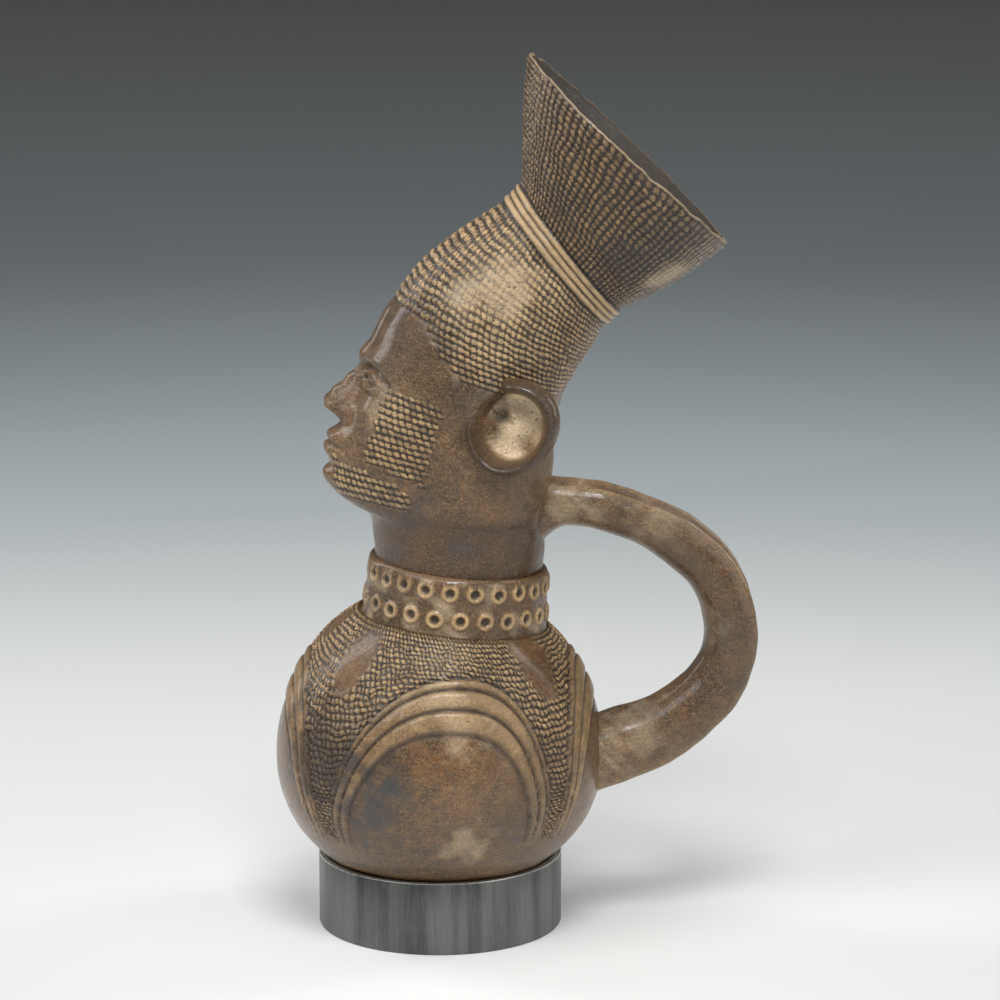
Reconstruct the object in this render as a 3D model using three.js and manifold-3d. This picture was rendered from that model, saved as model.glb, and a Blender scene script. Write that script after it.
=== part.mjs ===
// A figurative wine vessel of dark burnished pottery, standing in a cut length of dark metal tube.
// The jar is one hollow clay body: a round belly, a stamped collar, a head with a long swept-back
// crown whose flared hairdress is the mouth, and one loop handle from the nape to the belly.
// Millimetres, +Z up. The face looks along -X and the handle is on the +X side, so XZ is the plane
// of symmetry. The finished group stands on Z = 0, centred under its own length.

import * as THREE from "three";
import { LoftGeometry } from "three/addons/geometries/LoftGeometry.js";
import { mergeVertices } from "three/addons/utils/BufferGeometryUtils.js";
import Module from "manifold-3d";

// The metal ring
const ringOuterRadius = 50;
const ringWall = 3;
const ringHeight = 30;
const ringChamfer = 0.6;
const seatGap = 0.3; // the belly stands this far clear of the ring's inner edge

// The belly, an egg round the ring's axis
const bellyRadius = 67.3;
const bellyRise = 72; // its widest circle to where its top would close
const bellyDrop = 55.5; // its widest circle to where its underside would close
const footFlatRadius = 12;
const wall = 7;

// The collar on the shoulder
const collarFootRadius = 38;
const collarTopRadius = 36.4;
const collarHeight = 25;
const collarLean = 5.5; // degrees, towards the handle
const collarOffset = 5.6; // from the ring's axis, towards the handle
const collarSink = 2.5; // how far its foot is bedded in the shoulder
const collarEdge = 1.6; // its rounded upper edge

// The ring-shaped pellets on the collar
const pelletRadius = 3.6;
const pelletRelief = 1;
const pelletsPerRow = 23;
const pelletRowSpacing = 11.2;
const pelletRowTop = 5.6; // the upper row's centres, below the collar's top

// The neck and head, from the collar's foot to the top of the mouth
const figureHeight = 227;
const figureWall = 7;
const mouthWall = 5.2;

// The three cords carved round the base of the hairdress
const cordRelief = 1.2;
const cordCount = 3;

// The carved arches on the belly, bands of three ridges: one in front, one behind, one each side
const archRelief = 1.3;
const archGroove = 0.1; // what is left standing in the grooves between the ridges
const sideArchHalf = 40; // degrees round the belly, from its crown to its foot
const archFootLatitude = -26; // where neighbouring arches meet
const archTopLatitude = 38;
const archBandLatitude = 16.5; // the band's width over the crown, in degrees
const archFootShare = 0.17; // and at the foot, as a share of the arch's half width

// The handle
const handleReach = 72; // from the line between its roots to its middle, at the farthest
const handleThickness = 16.5;
const handleWidth = 25;
const handleNapeFlare = 1.9; // how much thicker it is where it grows from the nape
const handleBellyFlare = 1.42; // and from the belly
const handleRootSpread = 1.35; // and how much wider at both

// The ears
const earRadius = 18.6;
const earRim = 4.4;
const earDish = 4.5; // the dish's depth below the rim
const earBack = 19; // the rim to the end of the back, inside the head
const earStand = 38.5; // the middle of the rim, from the plane of symmetry
const earCentre = [10.4, 37.2]; // in the side view, in hundredths of the figure's height
const earTurn = 17; // degrees, the face of the ear towards the front
const earLean = 12; // degrees, its top towards the back

const clay = new THREE.MeshStandardMaterial({ color: 0x5b4430, roughness: 0.62, metalness: 0 });
const metal = new THREE.MeshStandardMaterial({ color: 0x3d3f40, roughness: 0.5, metalness: 0.7 });

const degrees = Math.PI / 180;
const wasm = await Module();
wasm.setup();

// The same surface as a solid that can be joined and cut.
function solidOf(geometry) {
  const bare = new THREE.BufferGeometry();
  bare.setAttribute("position", geometry.getAttribute("position"));
  bare.setIndex(geometry.index);
  const merged = mergeVertices(bare, 1e-4);
  return new wasm.Manifold(
    new wasm.Mesh({
      numProp: 3,
      vertProperties: merged.getAttribute("position").array,
      triVerts: new Uint32Array(merged.index.array),
    }),
  );
}

function geometryOf(solid) {
  const mesh = solid.getMesh();
  const geometry = new THREE.BufferGeometry();
  geometry.setAttribute("position", new THREE.BufferAttribute(mesh.vertProperties, 3));
  geometry.setIndex(new THREE.BufferAttribute(mesh.triVerts, 1));
  return geometry.toNonIndexed();
}

function closedLoft(sections) {
  return new LoftGeometry(sections, { capStart: true, capEnd: true });
}

// How much of the way x has gone from low to high, with soft ends.
function ramp(x, low, high) {
  return THREE.MathUtils.smoothstep(x, low, high);
}

// A soft bump, 1 at its centre.
function bump(x, centre, width) {
  const d = (x - centre) / width;
  return Math.exp(-d * d);
}

// The height at x on a line through the given [x, height] pairs, with soft joints.
function alongTable(table, x) {
  const after = table.findIndex((pair) => pair[0] > x);
  if (after === 0) return table[0][1];
  if (after < 0) return table[table.length - 1][1];
  const [x0, y0] = table[after - 1];
  const [x1, y1] = table[after];
  return THREE.MathUtils.lerp(y0, y1, ramp(x, x0, x1));
}

// The belly

// Height above the belly's widest circle at which its radius has come down to the given one.
function heightWhereRadius(radius, reach, widest) {
  return reach * Math.sqrt(Math.max(0, 1 - (radius / widest) ** 2));
}

const ringInnerRadius = ringOuterRadius - ringWall;
const bellyCentreZ = ringHeight + heightWhereRadius(ringInnerRadius, bellyDrop, bellyRadius) + seatGap;

// A point of the belly: azimuth 0 is the front, under the face. Angles are in degrees.
function bellyPoint(azimuth, latitude, relief = 0) {
  const reach = latitude > 0 ? bellyRise : bellyDrop;
  const radius = (bellyRadius + relief) * Math.cos(latitude * degrees);
  return new THREE.Vector3(
    -radius * Math.cos(azimuth * degrees),
    -radius * Math.sin(azimuth * degrees),
    bellyCentreZ + (reach + relief) * Math.sin(latitude * degrees),
  );
}

function bellySolid() {
  const columns = 32;
  const rows = 11;
  const low = -Math.acos(footFlatRadius / bellyRadius) / degrees;
  const high = Math.acos((collarFootRadius - figureWall) / bellyRadius) / degrees;
  const profile = Array.from({ length: rows + 1 }, (_, i) => {
    const point = bellyPoint(180, THREE.MathUtils.lerp(low, high, i / rows));
    return new THREE.Vector2(point.x, point.z);
  });
  profile.unshift(new THREE.Vector2(0, profile[0].y));
  profile.push(new THREE.Vector2(0, profile[rows + 1].y));
  return solidOf(new THREE.LatheGeometry(profile, columns).rotateX(Math.PI / 2));
}

// The ridges' crests and the grooves between them, as shares of the way in across the band.
const archBed = -2.2;
const archProfile = [
  [-0.03, archBed],
  [0.1, archRelief],
  [0.22, archGroove],
  [0.41, archRelief],
  [0.61, archGroove],
  [0.8, archRelief],
  [1.05, archBed],
];

// One arch: a half oval band from foot to foot, bedded in the belly and sinking in at both feet.
function archSolid(azimuth, halfWidth) {
  const steps = 12;
  const rows = [];
  for (let i = 0; i <= steps; i++) {
    const turn = (i / steps - 0.5) * Math.PI;
    const sink = ramp(Math.abs(i / steps - 0.5), 0.36, 0.5) * (archRelief + 0.4);
    rows.push(
      archProfile.map(([inward, relief]) => {
        const across = 0.985 - archFootShare * inward;
        const top = archTopLatitude - archBandLatitude * inward;
        const latitude = THREE.MathUtils.lerp(archFootLatitude, top, Math.cos(turn));
        const height = Math.max(relief - sink, archBed);
        return bellyPoint(azimuth + halfWidth * across * Math.sin(turn), latitude, height);
      }),
    );
  }
  return solidOf(closedLoft(rows));
}

function archSolids() {
  const frontArchHalf = 90 - sideArchHalf;
  return [0, 90, 180, 270].map((azimuth) =>
    archSolid(azimuth, azimuth % 180 ? sideArchHalf : frontArchHalf),
  );
}

// The collar

const collarFootZ =
  bellyCentreZ + heightWhereRadius(collarFootRadius, bellyRise, bellyRadius) - collarSink;
const collarFrame = new THREE.Matrix4()
  .makeRotationY(collarLean * degrees)
  .setPosition(collarOffset, 0, collarFootZ);

function circle(radius, height, count) {
  return Array.from({ length: count }, (_, i) => {
    const turn = (i / count) * 2 * Math.PI;
    return new THREE.Vector3(-radius * Math.cos(turn), -radius * Math.sin(turn), height);
  });
}

function collarSolid() {
  const columns = pelletsPerRow; // one flat a pellet
  const profile = [
    [collarFootRadius, -collarSink],
    [collarTopRadius, collarHeight - collarEdge],
    [collarTopRadius - collarEdge, collarHeight],
  ];
  const rings = profile.map(([radius, height]) => circle(radius, height, columns));
  return solidOf(closedLoft(rings).applyMatrix4(collarFrame));
}

// Each pellet is a low crater: a raised ring round a dimple.
function pelletSolids() {
  const sides = 5;
  const bed = 1.5;
  const profile = [
    [0, -bed],
    [pelletRadius * 1.3, -bed],
    [pelletRadius * 0.76, pelletRelief],
    [0, -0.1],
  ].map(([radius, height]) => new THREE.Vector2(radius, height));
  const pellet = new THREE.LatheGeometry(profile, sides);
  const pellets = [];
  const slope = (collarFootRadius - collarTopRadius) / collarHeight;
  for (let row = 0; row < 2; row++) {
    const height = collarHeight - pelletRowTop - row * pelletRowSpacing;
    const flat = row ? 1 : Math.cos(Math.PI / pelletsPerRow);
    const radius = (collarFootRadius - slope * (height + collarSink)) * flat;
    for (let i = 0; i < pelletsPerRow; i++) {
      const turn = ((i + (row ? 0 : 0.5)) / pelletsPerRow) * 2 * Math.PI + Math.PI;
      const frame = new THREE.Matrix4()
        .makeRotationZ(turn)
        .multiply(new THREE.Matrix4().makeTranslation(radius, 0, height))
        .multiply(new THREE.Matrix4().makeRotationZ(-Math.PI / 2));
      pellets.push(solidOf(pellet.clone().applyMatrix4(collarFrame.clone().multiply(frame))));
    }
  }
  return pellets;
}

// The neck and head

// The figure's sections, from the neck's root to the mouth. Each is an oval between a front and a
// back point of the side view, and all lengths are hundredths of the figure's height, measured
// from the collar's foot. taper narrows an oval's front, and spare is clay beyond the plain wall.
const sections = [
  { name: "root", front: [-13.6, -1], back: [14.9, -3], half: 14.4, taper: 0, spare: 0 },
  { name: "neck", front: [-14.3, 14.5], back: [15.3, 13.6], half: 14.7, taper: 0, spare: 0 },
  { name: "throat", front: [-15.2, 19], back: [15.5, 16.8], half: 14.8, taper: 0.04, spare: 0.6 },
  { name: "underchin", front: [-18.6, 20.9], back: [15.7, 18.4], half: 15, taper: 0.2, spare: 3 },
  { name: "chin", front: [-21.3, 23.7], back: [16.0, 20.4], half: 15.2, taper: 0.3, spare: 4.2 },
  { name: "mouth", front: [-20.4, 31.4], back: [16.8, 26.1], half: 15.7, taper: 0.24, spare: 2.2 },
  { name: "nosebase", front: [-19.1, 35.3], back: [17.2, 28.6], half: 16, taper: 0.17, spare: 1 },
  { name: "eyes", front: [-16.2, 43.9], back: [18.0, 34.3], half: 16.3, taper: 0.08, spare: 0.4 },
  { name: "brow", front: [-15.0, 47.5], back: [18.6, 36.8], half: 16.3, taper: 0.06, spare: 0 },
  { name: "forehead", front: [-12.6, 53.3], back: [19.8, 40.6], half: 16.2, taper: 0.04, spare: 0 },
  { name: "hairline", front: [-9.5, 58.8], back: [21.5, 43.7], half: 15.9, taper: 0.02, spare: 0 },
  { name: "crown", front: [-4.8, 64.4], back: [23.4, 46.8], half: 15.4, taper: 0, spare: 0 },
  { name: "hair", front: [2.1, 69.8], back: [25.3, 49.9], half: 14.6, taper: 0, spare: 0 },
  { name: "waist", front: [9.2, 74.3], back: [27.2, 53.0], half: 13.9, taper: 0, spare: 0 },
  { name: "cords", front: [12.0, 77.2], back: [29.6, 55.2], half: 13.8, taper: 0, spare: 0 },
  { name: "flare", front: [12.4, 85.2], back: [35.4, 58.2], half: 16.8, taper: 0, spare: 0 },
  { name: "spread", front: [12.6, 93.2], back: [42.0, 62.1], half: 20.2, taper: 0, spare: 0 },
  { name: "mouthrim", front: [13.3, 100], back: [48.0, 66.6], half: 23.1, taper: 0, spare: 0 },
];
const share = figureHeight / 100;
const indexOf = (name) => sections.findIndex((section) => section.name === name);

function figureVector([x, z]) {
  return new THREE.Vector3(collarOffset + x * share, 0, collarFootZ + collarSink + z * share);
}

function smoothLine(points) {
  return new THREE.CatmullRomCurve3(points, false, "centripetal");
}

const frontLine = smoothLine(sections.map((section) => figureVector(section.front)));
const backLine = smoothLine(sections.map((section) => figureVector(section.back)));
const ovalLine = smoothLine(
  sections.map((section) => new THREE.Vector3(section.half, section.taper, section.spare)),
);

// The figure's surface at a section number, which may lie between two, and a turn from the front.
// inset moves it inwards by a wall.
function figurePoint(number, turn, inset = 0, relief = 0) {
  const t = number / (sections.length - 1);
  const front = frontLine.getPoint(t);
  const back = backLine.getPoint(t);
  const oval = ovalLine.getPoint(t);
  const centre = front.clone().add(back).multiplyScalar(0.5);
  const forward = front.clone().sub(back).normalize();
  const spare = inset > 0 ? oval.z * share : 0;
  const halfLength = front.distanceTo(back) / 2 - inset - spare / 2 + relief;
  const halfWidth = oval.x * share - inset + relief;
  const along = halfLength * Math.cos(turn) - spare / 2;
  const across = halfWidth * Math.sin(turn) * (1 - oval.y * Math.cos(turn));
  return centre.addScaledVector(forward, along).add(new THREE.Vector3(0, -across, 0));
}

// The face, in thirds: hairline to brow, brow to the nose's base, nose's base to chin. Its
// features are a calm, general set on the usual proportions, all in those units.
const faceTop = figureVector(sections[indexOf("hairline")].front);
const faceFoot = figureVector(sections[indexOf("chin")].front);
const third = faceTop.distanceTo(faceFoot) / 3;
const faceDown = faceFoot.clone().sub(faceTop).normalize();
const faceOut = new THREE.Vector3(faceDown.z, 0, -faceDown.x);

const noseHeights = [
  [0.98, 0.04],
  [1.16, 0.06],
  [1.45, 0.21],
  [1.68, 0.34],
  [1.82, 0.4],
  [1.9, 0.37],
  [2, 0.14],
  [2.08, 0],
];

function faceRelief(down, side) {
  const from = Math.abs(side);
  const noseWidth = 0.2 + 0.1 * ramp(down, 1.3, 1.9);
  const noseRound = Math.sqrt(Math.max(0, 1 - (from / noseWidth) ** 2));
  const parts = [
    alongTable(noseHeights, down) * noseRound,
    0.16 * bump(down, 1.89, 0.12) * bump(from, 0.27, 0.12), // wings of the nose
    0.09 * bump(down, 1 + 0.12 * (from - 0.4) ** 2, 0.14) * (1 - ramp(from, 0.75, 1.1)), // brows
    -0.16 * bump(down, 1.28, 0.24) * bump(from, 0.5, 0.32), // eye sockets
    0.17 * bump(down, 1.31, 0.12) * bump(from, 0.52, 0.22), // eyes
    0.08 * bump(down, 1.72, 0.45) * bump(from, 0.78, 0.3), // cheeks
    0.14 * bump(down, 2.38, 0.36) * bump(from, 0, 0.62), // mouth's rounding
    0.07 * bump(down, 2.27, 0.1) * bump(from, 0, 0.34), // upper lip
    0.06 * bump(down, 2.5, 0.12) * bump(from, 0, 0.32), // lower lip
    -0.06 * bump(down, 2.38, 0.04) * bump(from, 0, 0.4), // between them
    -0.05 * bump(down, 2.69, 0.1) * bump(from, 0, 0.4), // fold above the chin
    0.13 * bump(down, 2.88, 0.2) * bump(from, 0, 0.42), // chin
  ];
  return parts.reduce((sum, part) => sum + part, 0) * third;
}

function withFace(point, turn) {
  const down = point.clone().sub(faceTop).dot(faceDown) / third;
  const front = ramp(Math.cos(turn), 0.05, 0.4) * ramp(down, 0, 0.4) * (1 - ramp(down, 2.95, 3.25));
  return point.addScaledVector(faceOut, front * faceRelief(down, point.y / third));
}

// Section numbers of the rows: evenly spaced between two named sections.
function rowsBetween(from, to, count) {
  const low = indexOf(from);
  const high = indexOf(to);
  return Array.from({ length: count }, (_, i) => low + ((high - low) * i) / count);
}

function figureRow(number, columns, relief = 0) {
  const row = [];
  for (let i = 0; i < columns; i++) {
    const half = columns / 2;
    const side = i <= half ? i / half : 2 - i / half;
    const turn = Math.PI * side ** 1.35 * (i <= half ? 1 : -1); // columns crowd towards the face
    row.push(withFace(figurePoint(number, turn, 0, relief), turn));
  }
  return row;
}

function figureSolid() {
  const columns = 32;
  const plain = [
    ...rowsBetween("root", "neck", 1),
    ...rowsBetween("neck", "chin", 4),
    ...rowsBetween("chin", "nosebase", 10),
    ...rowsBetween("nosebase", "brow", 8),
    ...rowsBetween("brow", "hairline", 3),
    ...rowsBetween("hairline", "waist", 4),
  ];
  const rows = plain.map((number) => figureRow(number, columns));
  const cordRows = rowsBetween("waist", "cords", cordCount * 2);
  cordRows.forEach((number, i) => rows.push(figureRow(number, columns, i % 2 ? cordRelief : 0)));
  const flare = [...rowsBetween("cords", "mouthrim", 4), indexOf("mouthrim")];
  flare.forEach((number) => rows.push(figureRow(number, columns)));
  return solidOf(closedLoft(rows));
}

// The ears

// A dish with a rolled rim on a tapered back, turned so that its front edge sinks into the cheek
// and its rear edge stands clear of the head.
function earSolid(side) {
  const sides = 14;
  const profile = [
    [0, -earBack],
    [0.35 * earRadius, -earBack],
    [earRadius, -1.1 * earRim],
    [earRadius, 0],
    [earRadius - 0.5 * earRim, 0.45 * earRim],
    [earRadius - 1.3 * earRim, 0],
    [earRadius - 2.2 * earRim, -earDish],
    [0, -earDish],
  ].map(([radius, height]) => new THREE.Vector2(radius, height));
  const centre = figureVector(earCentre);
  const frame = new THREE.Matrix4()
    .makeTranslation(centre.x, side * earStand, centre.z)
    .multiply(new THREE.Matrix4().makeRotationZ(side * earTurn * degrees))
    .multiply(new THREE.Matrix4().makeRotationY(earLean * degrees))
    .multiply(new THREE.Matrix4().makeScale(0.96, 1, 1.06))
    .multiply(new THREE.Matrix4().makeRotationX(side > 0 ? 0 : Math.PI));
  return solidOf(new THREE.LatheGeometry(profile, sides).applyMatrix4(frame));
}

// The handle

const napeRoot = figurePoint(indexOf("underchin") + 0.3, Math.PI);
napeRoot.x -= figureWall;
const bellyRoot = bellyPoint(180, 0);
bellyRoot.x -= wall + 4;

// Its middle line, as shares of the way down from root to root and of its reach.
const handleLine = [
  [0, 0],
  [0.003, 0.21],
  [0.036, 0.37],
  [0.108, 0.573],
  [0.222, 0.786],
  [0.389, 0.968],
  [0.654, 1],
  [0.825, 0.849],
  [0.947, 0.542],
  [0.983, 0.289],
  [1, 0],
];

// Its section: a rounded grip with a shallow channel between two raised edges along its outer
// face, as shares of its thickness and width.
const handleOutline = [
  [0.42, -0.18],
  [0.42, 0.18],
  [0.5, 0.36],
  [0.26, 0.5],
  [-0.26, 0.46],
  [-0.5, 0.18],
  [-0.5, -0.18],
  [-0.26, -0.46],
  [0.26, -0.5],
  [0.5, -0.36],
];

function handleSolid() {
  const steps = 24;
  const way = bellyRoot.clone().sub(napeRoot);
  const outward = new THREE.Vector3(-way.z, 0, way.x).normalize();
  const line = smoothLine(
    handleLine.map(([down, out]) =>
      napeRoot.clone().addScaledVector(way, down).addScaledVector(outward, out * handleReach),
    ),
  );
  const rows = [];
  for (let i = 0; i <= steps; i++) {
    const even = i / steps;
    const at = even - 0.06 * Math.sin(2 * Math.PI * even); // closer together at the roots
    const centre = line.getPoint(at);
    const along = line.getTangent(at);
    const out = new THREE.Vector3(-along.z, 0, along.x);
    const nearNape = (1 - Math.min(1, at / 0.13)) ** 2;
    const nearBelly = ramp(at, 0.5, 1);
    const flare = (handleNapeFlare - 1) * nearNape + (handleBellyFlare - 1) * nearBelly;
    const spread = (handleRootSpread - 1) * (nearNape + nearBelly ** 2);
    const thickness = handleThickness * (1 + flare + 0.18 * ramp(at, 0.25, 0.5));
    const width = handleWidth * (1 + spread);
    rows.push(
      handleOutline.map(([rise, side]) => {
        const point = centre.clone().addScaledVector(out, rise * thickness);
        return point.add(new THREE.Vector3(0, -side * width, 0));
      }),
    );
  }
  return solidOf(closedLoft(rows));
}

// The hollow inside, from the bottom of the belly out through the mouth.
function cavitySolid() {
  const columns = 20;
  const bellyRows = 8;
  const innerRadius = bellyRadius - wall;
  const low = -Math.acos(footFlatRadius / innerRadius);
  const neckRadius = collarFootRadius - 2 * figureWall;
  const high = Math.acos((neckRadius + wall) / innerRadius) - 0.06;
  const rows = [];
  for (let i = 0; i < bellyRows; i++) {
    const latitude = THREE.MathUtils.lerp(low, high, i / (bellyRows - 1));
    const reach = (latitude > 0 ? bellyRise : bellyDrop) - wall;
    const lean = collarOffset * ramp(latitude, 0.3, high);
    const height = bellyCentreZ + reach * Math.sin(latitude);
    const ring = circle(innerRadius * Math.cos(latitude), height, columns);
    rows.push(ring.map((point) => point.add(new THREE.Vector3(lean, 0, 0))));
  }
  const figureRows = [0.55, 1, 2, 4, 6, 8, 10, 12, 13, 14, 15.5, 17];
  const mouth = indexOf("mouthrim");
  for (const number of figureRows) {
    const inset = THREE.MathUtils.lerp(figureWall, mouthWall, ramp(number, indexOf("waist"), mouth));
    rows.push(cavityRow(number, inset, columns));
  }
  const last = cavityRow(mouth, mouthWall, columns);
  const before = cavityRow(mouth - 1, mouthWall, columns);
  rows.push(last.map((point, i) => point.clone().lerp(before[i], -0.5)));
  return solidOf(closedLoft(rows));
}

function cavityRow(number, inset, columns) {
  return Array.from({ length: columns }, (_, i) =>
    figurePoint(number, (i / columns) * 2 * Math.PI, inset),
  );
}

function vesselGeometry() {
  const pieces = [bellySolid(), ...archSolids(), collarSolid(), ...pelletSolids()];
  pieces.push(figureSolid(), handleSolid(), earSolid(1), earSolid(-1));
  const clayBody = pieces.reduce((whole, piece) => whole.add(piece));
  return geometryOf(clayBody.subtract(cavitySolid()));
}

// The ring: a plain tube with its four edges just broken.
function ringGeometry() {
  const sides = 40;
  const profile = [
    [ringInnerRadius, 0],
    [ringOuterRadius, 0],
    [ringOuterRadius, ringHeight - ringChamfer],
    [ringOuterRadius - ringChamfer, ringHeight],
    [ringInnerRadius + ringChamfer, ringHeight],
    [ringInnerRadius, ringHeight - ringChamfer],
    [ringInnerRadius, 0],
  ].map(([radius, height]) => new THREE.Vector2(radius, height));
  return new THREE.LatheGeometry(profile, sides).rotateX(Math.PI / 2);
}

function meshNamed(name, geometry, material) {
  const mesh = new THREE.Mesh(geometry, material);
  mesh.name = name;
  return mesh;
}

const group = new THREE.Group();
group.add(meshNamed("vessel", vesselGeometry(), clay));
group.add(meshNamed("ring_stand", ringGeometry(), metal));

const bounds = new THREE.Box3().setFromObject(group);
group.position.x = -(bounds.min.x + bounds.max.x) / 2;

export default group;
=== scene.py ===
"""A figurative wine vessel of burnished brown pottery, standing in a cut length of metal tube.

The jar is made of four closed pieces of clay that overlap where they join: the belly with its
collar, the head with its flared hairdress, the pair of ears and the handle. Each starts as a flat
grid, one unit a cell of its stamped pattern, which formulas wrap round the jar. Sizes are in
millimetres round the ring's own axis, and the place of that axis is read from the frame.
"""

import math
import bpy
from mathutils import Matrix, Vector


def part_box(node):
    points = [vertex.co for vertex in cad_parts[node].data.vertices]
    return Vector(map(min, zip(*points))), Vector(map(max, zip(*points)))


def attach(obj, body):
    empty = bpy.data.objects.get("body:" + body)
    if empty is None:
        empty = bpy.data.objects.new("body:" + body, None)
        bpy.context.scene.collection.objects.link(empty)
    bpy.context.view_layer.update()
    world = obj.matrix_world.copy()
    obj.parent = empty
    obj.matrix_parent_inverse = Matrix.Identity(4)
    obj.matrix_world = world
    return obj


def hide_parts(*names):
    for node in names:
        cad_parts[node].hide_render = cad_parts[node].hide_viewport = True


bl_info = {
    "name": "Figurative Wine Vessel",
    "version": (1, 0, 0),
    "blender": (4, 5, 0),
    "location": "3D Viewport > Sidebar > Wine Vessel",
    "description": "Builds a hollow pottery jar with a head, a flared hairdress and a loop handle",
    "category": "Add Mesh",
}

import bmesh
import bpy
import numpy as np
from bpy.props import FloatProperty, FloatVectorProperty, IntProperty, PointerProperty
from bpy.types import Operator, Panel, PropertyGroup
from mathutils import Matrix, Vector

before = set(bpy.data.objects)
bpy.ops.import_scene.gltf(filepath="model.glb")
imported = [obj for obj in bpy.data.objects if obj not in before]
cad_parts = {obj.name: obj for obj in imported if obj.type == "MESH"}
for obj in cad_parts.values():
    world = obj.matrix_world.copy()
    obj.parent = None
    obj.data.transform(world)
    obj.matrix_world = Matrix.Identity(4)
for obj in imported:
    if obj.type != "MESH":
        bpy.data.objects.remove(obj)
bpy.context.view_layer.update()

MM = 0.001
ring_low, ring_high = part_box("ring_stand")
RING_AXIS_X = (ring_low.x + ring_high.x) / 2 / MM
RING_OUTER = (ring_high.x - ring_low.x) / 2 / MM
RING_HEIGHT = ring_high.z / MM

# The solids' sizes, as the CAD source has them
RING_WALL = 3.0
RING_EDGE = 0.6
SEAT_GAP = 0.3
BELLY_RADIUS, BELLY_RISE, BELLY_DROP = 67.3, 72.0, 55.5
FOOT_RADIUS = 12.0
WALL = 7.0
MOUTH_WALL = 5.2
COLLAR_FOOT, COLLAR_TOP, COLLAR_HEIGHT = 38.0, 36.4, 25.0
COLLAR_LEAN = math.radians(5.5)
COLLAR_OFFSET, COLLAR_SINK, COLLAR_EDGE = 5.6, 2.5, 1.6
STAMP_RADIUS, STAMPS_PER_ROW, STAMP_ROW_TOP, STAMP_ROW_STEP = 3.6, 23, 5.6, 11.2
FIGURE_HEIGHT = 227.0
SHARE = FIGURE_HEIGHT / 100
CORD_COUNT = 3
ARCH_FOOT, ARCH_TOP, ARCH_BAND = -26.0, 38.5, 16.5
ARCH_SIDE_HALF, ARCH_FRONT_HALF = 42.0, 44.0
ARCH_OUTER_SHARE, ARCH_FOOT_SHARE = 0.985, 0.17
ROW_RISE = 6.0
ARCH_LEAN = 8.0
ARCH_ROUND = 2.4

BELLY_CENTRE_Z = (
    RING_HEIGHT
    + BELLY_DROP * math.sqrt(1 - ((RING_OUTER - RING_WALL) / BELLY_RADIUS) ** 2)
    + SEAT_GAP
)
COLLAR_FOOT_Z = (
    BELLY_CENTRE_Z + BELLY_RISE * math.sqrt(1 - (COLLAR_FOOT / BELLY_RADIUS) ** 2) - COLLAR_SINK
)

# The figure's sections: name, front and back of the side view, half width, taper and spare clay,
# in hundredths of the figure's height
SECTIONS = (
    ("root", (-13.6, -1), (14.9, -3), (14.4, 0, 0)),
    ("neck", (-14.3, 14.5), (15.3, 13.6), (14.7, 0, 0)),
    ("throat", (-15.2, 19), (15.5, 16.8), (14.8, 0.04, 0.6)),
    ("underchin", (-18.6, 20.9), (15.7, 18.4), (15, 0.2, 3)),
    ("chin", (-21.3, 23.7), (16, 20.4), (15.2, 0.3, 4.2)),
    ("mouth", (-20.4, 31.4), (16.8, 26.1), (15.7, 0.24, 2.2)),
    ("nosebase", (-19.1, 35.3), (17.2, 28.6), (16, 0.17, 1)),
    ("eyes", (-16.2, 43.9), (18, 34.3), (16.3, 0.08, 0.4)),
    ("brow", (-15, 47.5), (18.6, 36.8), (16.3, 0.06, 0)),
    ("forehead", (-12.6, 53.3), (19.8, 40.6), (16.2, 0.04, 0)),
    ("hairline", (-9.5, 58.8), (21.5, 43.7), (15.9, 0.02, 0)),
    ("crown", (-4.8, 64.4), (23.4, 46.8), (15.4, 0, 0)),
    ("hair", (2.1, 69.8), (25.3, 49.9), (14.6, 0, 0)),
    ("waist", (9.2, 74.3), (27.2, 53), (13.9, 0, 0)),
    ("cords", (12, 77.2), (29.6, 55.2), (13.8, 0, 0)),
    ("flare", (12.4, 85.2), (35.4, 58.2), (16.8, 0, 0)),
    ("spread", (12.6, 93.2), (42, 62.1), (20.2, 0, 0)),
    ("mouthrim", (13.3, 100), (48, 66.6), (23.1, 0, 0)),
)
NUMBER = {section[0]: i for i, section in enumerate(SECTIONS)}


def ramp(x, low, high):
    """How much of the way x has gone from low to high, with soft ends."""
    t = np.clip((x - low) / (high - low), 0, 1)
    return t * t * (3 - 2 * t)


def bump(x, centre, width):
    """A soft bump, 1 at its centre."""
    return np.exp(-(((x - centre) / width) ** 2))


def scatter(a, b, seed=0.0):
    """A random number from 0 to 1 for each pair of whole numbers."""
    return np.mod(np.sin(a * 127.1 + b * 311.7 + seed * 74.7) * 43758.5453, 1.0)


def lumps(points, size, seed):
    """Soft unevenness from about -1 to 1, with lumps of about the given size."""
    draw = np.random.default_rng(seed)
    total = np.zeros(len(points))
    waves = 7
    for _ in range(waves):
        way = draw.normal(size=3)
        way *= draw.uniform(0.7, 1.5) / np.linalg.norm(way)
        total += np.sin(points @ way * (math.pi / size) + draw.uniform(0, 2 * math.pi))
    return total / math.sqrt(waves)


def waver(column, row, columns, cells, seed):
    """Soft wandering over a piece's cells, from about -1 to 1, which closes round the piece."""
    draw = np.random.default_rng(seed)
    total = np.zeros(column.shape)
    waves = 8
    for _ in range(waves):
        around = np.round(draw.uniform(-1, 1) * columns / cells)
        upward = draw.uniform(-1, 1) / cells
        turns = around * column / columns + upward * row + draw.uniform()
        total += np.sin(2 * math.pi * turns)
    return total / math.sqrt(waves)


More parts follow.
